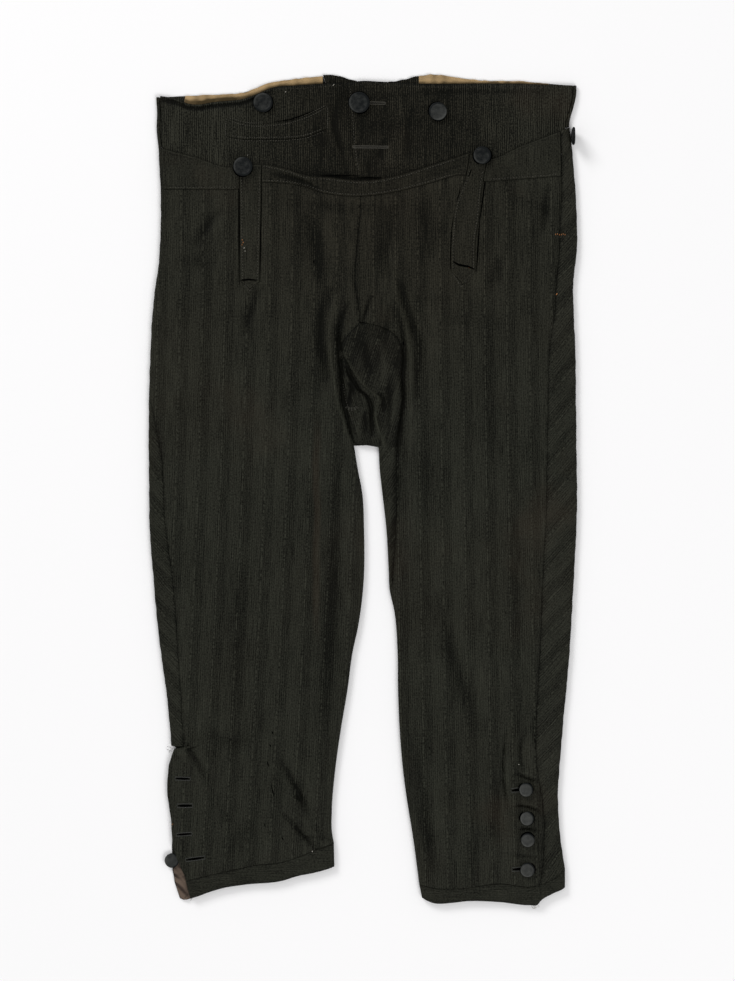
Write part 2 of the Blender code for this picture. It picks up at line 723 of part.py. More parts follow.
for lining in WAIST_LININGS:
    sheet(
        "lining_" + lining.side,
        lay_out(
            lambda y, x=lining.start: x,
            lambda y, x=lining.end: x,
            edge_line(BACK_TOP, -LINING_DEPTH),
            edge_line(BACK_TOP, LINING_STANDS_UP),
            even(8),
            even(2),
            lambda x, y: LINING_TOP,
        ),
        cotton,
        BAND_CLOTH,
    )
sheet(
    "lining_knee_right",
    lay_out(
        side_line(RIGHT_OUTSIDE, KNEE_LINING_SIDES[0], "under"),
        side_line(RIGHT_OUTSIDE, KNEE_LINING_SIDES[1], "under"),
        edge_line(RIGHT_HEM, KNEE_LINING_ABOVE_HEM),
        lambda x: KNEE_LINING_TOP,
        even(3),
        even(2),
        lambda x, y: LINING_TOP,
    ),
    cotton,
    BAND_CLOTH,
)


def on_upper_layer(x, y):
    return ON_TOP + fold_height(x, y)


bands = (
    (
        "fall_band",
        side_line(PLACKET_RIGHT_INNER, GAP),
        side_line(PLACKET_LEFT, -GAP),
        FALL_BAND_LOW,
        even(12),
    ),
    (
        "side_band_right",
        outside_seam(RIGHT_OUTSIDE, GAP),
        side_line(PLACKET_RIGHT, -GAP),
        RIGHT_SIDE_BAND_LOW,
        even(4),
    ),
    (
        "side_band_left",
        side_line(PLACKET_LEFT_OUTER, GAP),
        outside_seam(LEFT_OUTSIDE, -GAP),
        LEFT_SIDE_BAND_LOW,
        even(4),
    ),
)
for name, left, right, low, columns in bands:
    points = lay_out(left, right, edge_line(low), edge_line(FRONT_TOP), columns, even(2), on_upper_layer)
    sheet(name, points, silk, BAND_CLOTH)
placket(
    "placket_right",
    side_line(PLACKET_RIGHT),
    side_line(PLACKET_RIGHT_INNER),
    PLACKET_POINT_RIGHT,
    PLACKET_RIGHT_ROWS,
)
placket(
    "placket_left",
    side_line(PLACKET_LEFT),
    side_line(PLACKET_LEFT_OUTER),
    PLACKET_POINT_LEFT,
    PLACKET_LEFT_ROWS,
)
sheet(
    "fob_welt",
    lay_out(
        lambda y: FOB_ENDS[0],
        lambda y: FOB_ENDS[1],
        edge_line(FOB_LOW),
        edge_line(FOB_TOP),
        even(6),
        even(1),
        lambda x, y: ON_WAISTBAND,
    ),
    silk,
    BAND_CLOTH,
)

for place in BUTTONS:
    button(place)
button(KNEE_BUTTON_RIGHT, KNEE_BUTTON_THICKNESS)
hip = button(HIP_BUTTON)
hip.rotation_euler = (0, math.radians(90), 0)
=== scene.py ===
"""Knee breeches of ribbed, striped silk, laid flat with the front up: the looks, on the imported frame.

Sizes are in millimetres in the tables and metres in the meshes. X is to the wearer's left, Y to the waist.
"""

import math

import bmesh
import bpy
import numpy as np
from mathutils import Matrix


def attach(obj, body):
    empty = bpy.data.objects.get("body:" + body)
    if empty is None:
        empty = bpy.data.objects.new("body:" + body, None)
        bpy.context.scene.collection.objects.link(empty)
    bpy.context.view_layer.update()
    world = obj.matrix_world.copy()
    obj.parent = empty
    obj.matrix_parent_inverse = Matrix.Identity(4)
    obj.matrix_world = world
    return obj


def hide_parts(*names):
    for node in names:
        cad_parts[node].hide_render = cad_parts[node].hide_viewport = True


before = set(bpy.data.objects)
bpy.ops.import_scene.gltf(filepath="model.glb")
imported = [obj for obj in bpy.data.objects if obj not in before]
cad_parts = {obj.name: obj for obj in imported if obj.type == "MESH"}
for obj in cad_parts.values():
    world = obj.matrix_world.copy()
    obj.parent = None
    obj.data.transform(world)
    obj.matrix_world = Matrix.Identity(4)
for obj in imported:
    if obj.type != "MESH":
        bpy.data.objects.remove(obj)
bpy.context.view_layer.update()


# Back panels, one to a leg. Each is a single length of ribbed silk cut on the bias, which makes the lower
# layer, turns up round both edges of the flattened leg and is sewn to the front panel on top. The right
# knee is open at the outer edge.

MM = 0.001
LEG_HEIGHT = 5.5
LEG_RADIUS = LEG_HEIGHT / 2
HALF_TURN = math.pi * LEG_RADIUS
SEAM_GAP = 0.15
SILK_WALL = 1.0
CELL = 2.5
CROTCH = 40.0
KNEE_OPENING = -231.0
HEM_ROW = -345.0
HEM_BENDS_BELOW = -300.0
TOP_ROW = 290.0
TOP_BENDS_ABOVE = 230.0
SEAT_SEAM = 300.0
BIAS = math.radians(50)
PAST_CENTRE = 60.0
KNEE_BUTTONS_END = -240
FORK_TOP_START = 131
FORK_TOP_END = 153
FORK_TOP_ROWS_APART = 0.6


def line(*stations, straight=False):
    """A smooth curve through (place, value) stations, or straight runs between them."""
    places, values = (np.array(column, float) for column in zip(*stations))
    slopes = np.gradient(values, places) if len(places) > 2 else None

    def at(place):
        place = np.clip(place, places[0], places[-1])
        if straight or slopes is None:
            return np.interp(place, places, values)
        first = np.clip(np.searchsorted(places, place, side="right") - 1, 0, len(places) - 2)
        step = places[first + 1] - places[first]
        share = (place - places[first]) / step
        rise = values[first + 1] - values[first]
        leave, arrive = slopes[first] * step, slopes[first + 1] * step
        bend = 3 * rise - 2 * leave - arrive + share * (leave + arrive - 2 * rise)
        return values[first] + share * (leave + share * bend)

    return at


# Columns: Y, then X of the outline or the distance of the seam from it.
right_edge = line(
    (-233, -172), (-198, -175), (-180, -177), (-144, -182), (-108, -186), (-72, -189), (-36, -191.8),
    (0, -192.3), (78, -192.5), (126, -191), (162, -189), (180, -187), (198, -184.3), (234, -182),
    (270, -182), (308, -184),
)
right_seam_in = line(
    (-233, 11), (-198, 12), (-144, 15.5), (-117, 17), (-72, 17), (-27, 14), (36, 10.5), (60, 6), (78, 2),
    (95, -1), (110, -1.5), (310, -1.5),
)
right_flap = line(
    (-366, -150.3), (-362, -155.7), (-346.5, -161), (-329, -168.5), (-322, -170.6), (-297, -173),
    (-272, -176.3), (-256, -176), (-246, -174.6), (-237, -172), (-231, -169.5),
)
right_under = line((-367, -165), (-350, -170), (-342, -171), (-324, -172), (-300, -170), (-229, -168))
right_inner = line(
    (-345, -24), (-324, -25), (-306, -28), (-288, -28), (-252, -25), (-216, -20), (-180, -14), (-144, -9),
    (-126, -5), (-90, 0), (-36, 1), (0, -1), (18, -4.5), (CROTCH, -8),
)
left_edge = line(
    (-368, 184), (-354, 183.6), (-342, 182), (-324, 179), (-306, 177), (-288, 175.6), (-270, 175.4),
    (-252, 176.5), (-234, 178), (-198, 181), (-162, 184.5), (-126, 187), (-90, 189), (-54, 191),
    (-18, 192.4), (36, 192), (81, 191.5), (126, 191), (162, 189.4), (180, 189), (198, 190.2),
    (216, 192.4), (234, 192.5), (270, 191), (306, 188), (326, 186),
)
left_seam_in = line(
    (-368, 26), (-354, 24.5), (-333, 18.5), (-297, 13.5), (-271, 15.5), (-252, 20), (-193, 25),
    (-126, 27), (-58, 28), (-18, 27.5), (36, 26.5), (81, 25), (130, 23), (160, 17), (176, 15.5),
    (234, 15.5), (270, 12.5), (306, 10), (326, 8.5),
)
left_inner = line(
    (-366, 52), (-342, 49), (-306, 44), (-288, 41), (-252, 36), (-216, 33), (-180, 31.5), (-144, 31),
    (-108, 28), (-90, 24), (-72, 23), (-36, 21), (0, 17), (18, 15), (CROTCH, 14),
)

# Inside leg seams, Y and X, up to where they meet. Lower than this on the left leg, and than the crotch on
# the right one, the seam runs round the inner edge.
SEAM_ON_TOP = -91
INSEAMS_MEET = 151
right_inseam = line(
    (CROTCH, -8), (52, -11.5), (64, -15), (76, -18.5), (91, -19.5), (105, -20), (122, -21.5), (133, -18),
    (141, -12), (148, -5), (INSEAMS_MEET, -2.7),
)
left_inseam = line(
    (SEAM_ON_TOP, 25.6), (-45, 28.8), (9, 30.6), (36, 30.6), (60, 33.5), (82, 36.5), (105, 35.2),
    (122, 36), (135, 32), (143, 24), (148, 12), (INSEAMS_MEET, -2.7),
)
centre_front = line(
    (INSEAMS_MEET, -2.7), (170, -5), (187, -8), (205, -6.8), (225, -5), (248, -2.7), (290, -2),
    straight=True,
)
centre_back_below = line((CROTCH, 3), (SEAT_SEAM, 3), straight=True)

# Seams above the knee bands, hems, and the top of the front with the free edge of the fall, X and Y.
right_band_seam = line(
    (-172, -353), (-150, -349), (-120, -342), (-93, -336.5), (-77, -335), (-39, -322), (-27, -317),
)
left_band_seam = line(
    (47, -353), (61, -357), (89, -358), (121, -353.5), (156, -355.5), (170, -350), (184, -339),
)
right_hem = line(
    (-171, -360), (-165, -367), (-150.3, -365.7), (-140, -362), (-127, -358), (-106, -354.6), (-72, -351),
    (-59, -347), (-44, -344), (-30, -340), (-25, -338),
)
left_hem = line(
    (47, -362), (51, -365), (61, -370.5), (80, -371), (91, -369.7), (123, -370.3), (150, -373),
    (157, -372.5), (160, -369), (170, -363), (182.5, -356), (185, -353),
)
front_top = line(
    (-186, 308.6), (-150, 299), (-119, 290), (-106, 292.5), (-95, 293.4), (-80, 291), (-68, 288),
    (-53, 283), (-31, 281), (3, 278), (31, 282.6), (63, 292.5), (84, 299), (97, 302.4), (104, 299),
    (113, 297.5), (142, 309), (160, 316), (186, 326),
)

# The main creases of the upper layer. Those that run down the leg: from Y, to Y, X at the start, middle and
# end, width, height. Those that run across it: from X, to X, Y at the start, middle and end, width, height.
DOWN_CREASES = (
    (-90, 60, 26, 29, 32, 3.0, -1.8),
    (-225, 45, -38, -27, -22, 8.0, -1.5),
    (-160, 30, -10, -14, -17, 5.0, 0.9),
    (-296, -240, -49, -60, -76, 2.8, -2.6),
    (-286, -232, -42, -52, -68, 4.0, 1.2),
    (-290, -244, -58, -68, -84, 3.6, 0.8),
    (-328, -288, -38, -56, -74, 2.4, -2.5),
    (-322, -286, -34, -48, -66, 3.0, 1.0),
    (-262, -218, -140, -152, -166, 2.8, -2.2),
    (-258, -224, -132, -143, -156, 3.6, 0.8),
    (-300, -270, -122, -128, -132, 3.0, -0.9),
    (-292, -213, 131, 126, 129, 1.2, -2.2),
    (-288, -213, 134, 129.5, 132, 1.8, 1.2),
    (-256, -214, 147, 141, 148, 1.7, -1.9),
    (-250, -218, 152, 149, 152, 1.7, 1.5),
    (-244, -220, 139, 136.5, 139, 1.6, 1.2),
    (-236, -208, 156, 154, 150, 1.8, -1.2),
    (-250, -222, -158, -164, -168, 4.0, 1.0),
    (-226, -92, 103, 84, 61, 8.0, -2.0),
    (-216, -100, 116, 97, 76, 8.0, 0.9),
    (-345, -212, 63, 52, 44, 6.0, -1.9),
    (-330, -225, 73, 64, 56, 7.0, 0.9),
    (136, 184, -107, -102, -93, 4.5, -1.6),
    (142, 178, -98, -94, -86, 4.0, 0.9),
    (216, 252, -151, -142, -130, 6.0, -1.6),
    (222, 250, -141, -133, -122, 5.0, 0.9),
    (184, 212, 121, 122, 124, 4.0, -1.6),
    (186, 214, 128, 129, 130, 4.5, 0.8),
    (228, 278, 162, 164, 167, 4.0, -1.8),
    (236, 290, 170, 171, 173, 4.5, 0.8),
    (196, 262, 26, 31, 40, 7.0, 0.9),
    (200, 262, 18, 20, 26, 6.0, -0.9),
    (190, 250, -38, -42, -52, 8.0, -0.8),
    (196, 255, -26, -28, -34, 7.0, 0.8),
    (205, 262, 64, 60, 52, 7.0, -0.8),
    (60, 190, 72, 66, 60, 10.0, 0.8),
    (-40, 80, 64, 60, 66, 9.0, -0.7),
    (-180, -20, 132, 140, 138, 9.0, -0.7),
    (-210, -60, -120, -112, -118, 10.0, -0.7),
    (-60, 120, -92, -84, -90, 11.0, 0.7),
    (-320, -250, 112, 118, 122, 6.0, -1.0),
    (-300, -235, 126, 130, 131, 3.0, 1.0),
    (-352, -300, 92, 98, 106, 7.0, -0.8),
    (60, 140, -148, -142, -146, 9.0, -0.7),
    (20, 150, 118, 112, 108, 9.0, -0.6),
    (-330, -292, -118, -110, -104, 6.0, -0.9),
    (-342, -300, -90, -86, -88, 5.0, 0.8),
)
ACROSS_CREASES = (
    (-176, -158, -236, -240, -247, 2.6, -1.2),
    (-150, -96, -216, -224, -226, 5.0, -0.8),
    (136, 158, -254, -259, -263, 1.3, -2.6),
    (138, 160, -251, -255, -259, 1.6, 1.0),
    (150, 156, -262, -266, -274, 1.6, -1.6),
    (136, 160, -284, -285, -290, 1.3, -2.4),
    (134, 158, -280, -281, -285, 1.8, 0.9),
    (138, 158, -306, -304.5, -308, 1.3, -2.2),
    (128, 158, -326, -329, -330, 1.6, -1.6),
    (-60, -24, -316, -312, -318, 1.6, -1.2),
    (-50, -24, -322, -319, -320, 1.4, 0.8),
    (52, 88, -316, -309, -304, 4.0, -0.8),
    (-60, -30, -300, -304, -314, 3.5, -1.0),
    (-74, -48, -268, -274, -284, 3.0, -0.9),
    (-44, -8, 126, 118, 112, 5.0, -0.6),
    (44, 80, 176, 170, 172, 5.0, -0.7),
    (60, 130, 160, 152, 148, 7.0, -0.6),
    (-140, -60, 150, 158, 152, 8.0, -0.5),
    (-84, -38, 284, 279, 269, 2.4, -2.4),
    (-82, -40, 289, 284, 275, 2.4, 1.1),
    (-60, 30, 266, 261, 260, 4.0, 0.7),
    (-70, 40, 258, 252, 254, 4.5, -0.5),
    (40, 92, 276, 284, 292, 3.0, -0.8),
    (30, 90, 262, 270, 280, 4.0, 0.6),
    (130, 176, 262, 256, 250, 5.0, -0.7),
    (-176, -130, 200, 206, 202, 6.0, -0.6),
)
UNDER_CREASES = (
    (-330, -120, -110, -120, -104, 9.0, 0.7),
    (-180, 60, -60, -70, -50, 10.0, 0.7),
    (60, 280, -90, -60, -74, 9.0, 0.8),
    (110, 290, 20, 34, 26, 7.0, 0.9),
    (-60, 120, 130, 120, 134, 9.0, 0.7),
    (-300, -150, 110, 96, 104, 8.0, 0.7),
    (150, 260, 120, 132, 118, 8.0, 0.7),
    (180, 285, -30, -22, -14, 6.0, 0.9),
)


def crease_lift(along, across, creases):
    """Height of a table of creases at points given along and across their run."""
    total = np.zeros_like(along)
    for start, stop, first, middle, last, width, height in creases:
        share = np.clip((along - start) / (stop - start), 0, 1)
        bend = 4 * share * (1 - share)
        centre = first * (1 - share) + last * share + (middle - (first + last) / 2) * bend
        total += height * bend**0.7 * np.exp(-(((across - centre) / width) ** 2))
    return total


# Creases that follow a curve: width and height, then Y and X along it.
CURVED_CREASES = (
    (2.1, 2.6, (44, -12), (63, -18), (77, -22.5), (99, -26), (121, -29), (135, -30), (153, -28), (169, -24),
     (180, -18)),
    (3.6, -2.2, (96, -33), (106, -33.5), (117, -35), (140, -38.5), (157, -37), (171, -33), (184, -30)),
    (2.0, -2.6, (44, -10), (70, -15), (88, -18.5), (106, -19.8), (128, -21.6), (142, -21.6), (157, -18.5),
     (170, -13)),
    (2.2, -1.3, (124, -22), (138, -22.5), (152, -20.5), (162, -17)),
    (2.2, 2.6, (34, 42.3), (63, 43.2), (90, 44), (113, 43), (135, 40.5), (153, 37.5), (171, 31.5),
     (187, 28.8), (209, 30)),
    (3.4, -2.5, (80, 47), (99, 48), (117, 49.5), (131, 49.5), (149, 44.5), (167, 39), (190, 33)),
    (1.9, -2.2, (28, 31.5), (45, 33.3), (63, 34.2), (81, 37), (99, 36), (117, 37.6), (131, 37), (148, 34),
     (163, 29.5)),
    (1.8, 2.4, (30, 22), (41, 18.9), (54, 14.6), (67, 11.6), (76, 12.6), (84, 12.4), (89, 6.3), (96, -1),
     (104, -6.5), (114, -12.8), (124, -17)),
    (1.9, -2.6, (48, 8.6), (63, 7.8), (77, 6.6), (84, 3.4), (90, -3.2), (101, -10.2), (112, -15.5)),
    (1.7, -1.5, (70, 19), (76, 18.6), (82, 18), (88, 14)),
    (2.0, -2.2, (74, -13), (82, -11.8), (90, -9.8), (97, -11)),
    (2.6, 1.2, (46, -2), (56, -4), (66, -3), (74, 0)),
    (1.5, -1.0, (50, 2), (58, 2.5), (66, 2), (72, 3)),
    (3.2, -1.3, (104, 6), (114, 4), (124, 3), (134, 0)),
    (3.4, 1.0, (92, 18), (108, 20), (122, 18), (136, 14)),
    (2.4, 1.0, (60, 26), (76, 28), (92, 30), (110, 28)),
    (1.8, -1.0, (54, 22), (70, 24), (84, 24), (100, 22)),
    (1.7, -2.4, (148, 0), (155, 1), (160, 2.8), (168, 5), (176, 8)),
    (1.8, -1.6, (140, 21), (150, 21.5), (160, 22.6), (170, 24)),
    (1.4, -1.2, (146, 26), (154, 27.5), (163, 28), (172, 29)),
    (2.2, 0.9, (152, 11), (164, 13.5), (178, 16), (190, 20)),
    (1.8, 1.1, (150, -6), (162, -9), (176, -10.5), (190, -10)),
    (5.5, -0.7, (184, -37), (204, -40), (228, -44), (250, -52)),
    (5.0, -0.7, (192, 22), (214, 24), (236, 28), (256, 34)),
)


def curved_lift(x, y):
    """Height of the creases that follow a curve."""
    total = np.zeros_like(x)
    for width, height, *stations in CURVED_CREASES:
        start, stop = stations[0][0], stations[-1][0]
        share = np.clip((y - start) / (stop - start), 0, 1)
        strength = np.clip(4 * share * (1 - share), 0, 1) ** 0.35
        total += height * strength * np.exp(-(((x - line(*stations)(y)) / width) ** 2))
    return total


def ripple(x, y):
    """The slight unevenness of old silk that lies on a table."""
    return (
        0.22 * np.sin(x / 13 + 1.7 * np.sin(y / 61)) * np.sin(y / 47 + 0.9 * np.sin(x / 29))
        + 0.13 * np.sin(x / 5.3 + 2.1 * np.sin(y / 23)) * np.sin(y / 17 + x / 31)
    )


def upper_lift(x, y):
    """Height of the whole upper layer of the legs over its level."""
    creases = crease_lift(y, x, DOWN_CREASES) + crease_lift(x, y, ACROSS_CREASES)
    return creases + curved_lift(x, y) + ripple(x, y)


def seam_dip(distance, along, deep=0.45):
    """Cloth rounds down to a seam and puckers a little beside it."""
    pucker = np.sin(along / 1.35 + 2.2 * np.sin(along / 11)) * np.sin(along / 37 + 1)
    return -deep * np.exp(-((distance / 1.3) ** 2)) + 0.13 * pucker * np.exp(-((distance / 3.5) ** 2))


def ring(outer, inner, way):
    """X and Z round the flattened leg, at a way from where the top meets the turn of the outer edge. A
    negative way runs inwards over the top and round the inner edge."""
    towards = np.sign(outer - inner)
    flat = np.abs(outer - inner) - LEG_HEIGHT
    whole = 2 * (HALF_TURN + flat)
    place = np.mod(way, whole)
    turned = np.clip(place / LEG_RADIUS, 0, math.pi)
    back = np.clip((place - HALF_TURN - flat) / LEG_RADIUS, 0, math.pi)
    x = np.select(
        [place < HALF_TURN, place < HALF_TURN + flat, place < 2 * HALF_TURN + flat],
        [
            outer - towards * LEG_RADIUS * (1 - np.sin(turned)),
            outer - towards * (LEG_RADIUS + place - HALF_TURN),
            inner + towards * LEG_RADIUS * (1 - np.sin(back)),
        ],
        inner + towards * (LEG_RADIUS + place - 2 * HALF_TURN - flat),
    )
    z = np.select(
        [place < HALF_TURN, place < HALF_TURN + flat, place < 2 * HALF_TURN + flat],
        [LEG_RADIUS * (1 + np.cos(turned)), 0 * place, LEG_RADIUS * (1 - np.cos(back))],
        LEG_HEIGHT + 0 * place,
    )
    return x, z


def row_place(row, low, high):
    """The true Y of a nominal row, which bends towards the hem below and the top edge above."""
    down = np.clip((HEM_BENDS_BELOW - row) / (HEM_BENDS_BELOW - HEM_ROW), 0, 1)
    up = np.clip((row - TOP_BENDS_ABOVE) / (TOP_ROW - TOP_BENDS_ABOVE), 0, 1)
    middle = np.clip(row, HEM_BENDS_BELOW, TOP_BENDS_ABOVE)
    return middle + down * (low - HEM_BENDS_BELOW) + up * (high - TOP_BENDS_ABOVE)


def nominal_rows():
    """Rows of a leg panel, closer together at the knee buttons and round the top of the fork."""
    rows = np.arange(HEM_ROW, TOP_ROW + 1, CELL)
    at_crotch = np.abs(rows - CROTCH) <= 1
    rows = rows[~at_crotch & ((rows < FORK_TOP_START) | (rows > FORK_TOP_END))]
    between = np.arange(HEM_ROW + CELL / 2, KNEE_BUTTONS_END, CELL)
    fork_top = np.arange(FORK_TOP_START, FORK_TOP_END, FORK_TOP_ROWS_APART)
    return np.sort(np.concatenate([rows, between, [CROTCH - 0.2, CROTCH + 0.2], fork_top]))


def even_shares(length, edge=8.0, fine=0.8, cell=CELL):
    """Shares across a strip of this length, closer together near both its edges."""
    near = np.arange(0, edge, fine)
    middle = np.linspace(edge, length - edge, max(2, round((length - 2 * edge) / cell) + 1))
    return np.concatenate([near, middle, length - near[::-1]]) / length


class Shade:
    """A socket in a shader, for maths written as an expression."""

    def __init__(self, tree, socket):
        self.tree = tree
        self.socket = socket

    def node(self, kind, settings=None, **values):
        """Any node: its settings first, then the values or links of its sockets by name or number."""
        made = self.tree.nodes.new(kind)
        for name, value in (settings or {}).items():
            setattr(made, name, value)
        for name, value in values.items():
            key = int(name[1:]) if name[0] == "_" else name.replace("_", " ")
            if isinstance(value, Shade):
                self.tree.links.new(value.socket, made.inputs[key])
            else:
                made.inputs[key].default_value = value
        return made

    def maths(self, operation, *values):
        sockets = {f"_{number}": value for number, value in enumerate(values)}
        return Shade(self.tree, self.node("ShaderNodeMath", {"operation": operation}, **sockets).outputs[0])

    def __add__(self, other):
        return self.maths("ADD", self, other)

    def __sub__(self, other):
        return self.maths("SUBTRACT", self, other)

    def __rsub__(self, other):
        return self.maths("SUBTRACT", other, self)

    def __mul__(self, other):
        return self.maths("MULTIPLY", self, other)

    __radd__ = __add__
    __rmul__ = __mul__

    def wave(self, period, start=0.0):
        """From 0 to 1 and back over a period."""
        return self.maths("SINE", (self - start) * (2 * math.pi / period)) * 0.5 + 0.5

    def between(self, low, high):
        """0 below low, 1 above high, smooth between; the other way round if low is above high."""
        settings = {"interpolation_type": "SMOOTHSTEP"}
        made = self.node("ShaderNodeMapRange", settings, _0=self, _1=min(low, high), _2=max(low, high))
        made.inputs[3].default_value = float(low > high)
        made.inputs[4].default_value = float(low < high)
        return Shade(self.tree, made.outputs[0])

    def noise(self, scale, detail=2.0, stretch=(1, 1, 1)):
        spread = self.node("ShaderNodeMapping", {}, _0=self, _3=stretch)
        spread = Shade(self.tree, spread.outputs[0])
        made = self.node("ShaderNodeTexNoise", {}, Vector=spread, Scale=scale, Detail=detail)
        return Shade(self.tree, made.outputs[0])

    def tint(self, first, second):
        """This value mixes one colour into another."""
        made = self.node("ShaderNodeMix", {"data_type": "RGBA"})
        self.tree.links.new(self.socket, made.inputs[0])
        for number, colour in ((6, first), (7, second)):
            if isinstance(colour, Shade):
                self.tree.links.new(colour.socket, made.inputs[number])
            else:
                made.inputs[number].default_value = (*colour, 1)
        return Shade(self.tree, made.outputs[2])


def new_finish(name, roughness, specular, sheen=0.0):
    """An empty cloth material: its shader node, and the sockets that its pattern starts from."""
    finish = bpy.data.materials.new(name)
    finish.use_nodes = True
    tree = finish.node_tree
    shader = tree.nodes["Principled BSDF"]
    shader.inputs["Roughness"].default_value = roughness
    shader.inputs["Specular IOR Level"].default_value = specular
    shader.inputs["Sheen Weight"].default_value = sheen
    shader.inputs["Sheen Roughness"].default_value = 0.4
    grain = Shade(tree, tree.nodes.new("ShaderNodeUVMap").outputs[0])
    grain.socket.node.uv_map = "grain"
    place = Shade(tree, tree.nodes.new("ShaderNodeTexCoord").outputs["Object"])
    lift = tree.nodes.new("ShaderNodeAttribute")
    lift.attribute_name = "lift"
    return finish, shader, grain, place, Shade(tree, lift.outputs["Fac"])


def dress(shader, colour, height, depth, strength=1.0):
    """Colour and bump into the shader; the bump's height runs from 0 to 1 over this depth in metres."""
    tree = shader.id_data
    bump = height.node("ShaderNodeBump", {}, Height=height, Distance=depth, Strength=strength)
    tree.links.new(bump.outputs[0], shader.inputs["Normal"])
    tree.links.new(colour.socket, shader.inputs["Base Color"])


STRIPE_PERIOD = 20.0
PALE_THREAD_AT = 6.5
RIB_PITCH = 1.95
WEAVE_PITCH = 0.9
WANDER = 1.6
FRONT_MIDDLE = 0.015
WORN_LINE = 0.042
SILK_DARK = (0.0018, 0.0019, 0.0009)
SILK_LIGHT = (0.0308, 0.0318, 0.0232)
SILK_WORN = (0.0400, 0.0262, 0.0165)
SILK_BROWN = (0.0312, 0.0284, 0.0196)


def silk_finish(name, stripes, ribs, start=0.0, contrast=1.0, darkens=0.12):
    """Ribbed silk: a broad shadow stripe with one pale thread to a repeat, and fine ribs down the grain. It
    is darker and browner towards the waist and between the legs, and it has worn reddish in a narrow line
    beside the fork. The height of the creases, read from the lift attribute, paints their ridges lighter and
    their troughs darker, more so towards the waist: painted highlight and painted shade."""
    finish, shader, grain, place, lift = new_finish(name, 0.62, 0.065, 0.015)
    parts = grain.node("ShaderNodeSeparateXYZ", {}, _0=grain)
    across = Shade(grain.tree, parts.outputs[0]) * 1000
    down = Shade(grain.tree, parts.outputs[1]) * 1000
    across = across + grain.noise(90, 1) * WANDER
    spot = place.node("ShaderNodeSeparateXYZ", {}, _0=place)
    left, up = (Shade(place.tree, spot.outputs[number]) for number in range(2))
    to_waist = up.between(0.03, 0.27)
    from_middle = left - FRONT_MIDDLE
    to_middle = from_middle.maths("ABSOLUTE", from_middle).between(0.16, 0.03)
    # Painted shade and painted highlight from the crease height, stronger towards the waist.
    lift = lift * (to_waist * 0.45 + 1.0)
    from_line = left + WORN_LINE + (place.noise(30, 1) - 0.5) * 0.006
    near_line = from_line.maths("ABSOLUTE", from_line).between(0.005, 0.001)
    beside_fork = near_line * up.between(-0.15, -0.09) * up.between(0.08, 0.02)
    stripe = across.wave(STRIPE_PERIOD, start).between(0.32, 0.68)
    thread = across.wave(STRIPE_PERIOD, start + PALE_THREAD_AT).between(0.982, 0.999)
    dashes = grain.noise(330, 1, (0.4, 1, 1)).between(0.42, 0.58)
    ribbed = grain.noise(1000, 1, (0.16, 0.035, 1)).between(0.35, 0.65)
    rib = across.wave(RIB_PITCH)
    fine_rib = across.wave(RIB_PITCH * 0.37)
    streaks = grain.noise(1000, 2, (1.9, 0.045, 1))
    slubs = grain.noise(1000, 2, (1.0, 0.6, 1))
    weave = down.wave(WEAVE_PITCH)
    mottle = place.noise(16, 4)
    blotch = place.noise(5.5, 3).between(0.45, 0.75)
    threads = (
        thread * dashes * 0.44 * stripes
        + (rib - 0.5) * (ribbed * 0.22 + 0.07) * ribs
        + (streaks - 0.5) * 1.15
        + (slubs - 0.5) * 1.35
    )
    level = (
        0.412
        + threads * (to_waist * 0.10 + 1.14 * contrast)
        + (stripe - 0.5) * 0.15 * stripes
        + (mottle - 0.5) * 0.42
        # Ridges painted lighter and troughs painted darker by the crease height: painted highlight and
        # painted shade.
        + lift.maths("MAXIMUM", lift, 0.0) * 0.22
        + lift.maths("MINIMUM", lift, 0.0) * 0.38
        - to_waist * (to_middle * darkens - 0.01)
    )
    tone = level.maths("MINIMUM", level.maths("MAXIMUM", level, 0.0), 1.6)
    worn = place.noise(9, 5).between(0.56, 0.78) * 0.20 + blotch * 0.06 + beside_fork * 0.2
    brown = to_waist * (to_middle * 0.7 + 0.3)
    colour = worn.tint(tone.tint(SILK_DARK, brown.tint(SILK_LIGHT, SILK_BROWN)), SILK_WORN)
    height = rib * 0.55 * ribs + fine_rib * 0.10 + weave * 0.10 + streaks * 0.5 + slubs * 0.45
    dress(shader, colour, height, 0.00035, 0.75)
    return finish


silk = silk_finish("ribbed_striped_silk", 1.0, 1.0)
plain_silk = silk_finish("plain_silk", 0.12, 0.4, 9.0)


LIFT_SCALE = 2.2


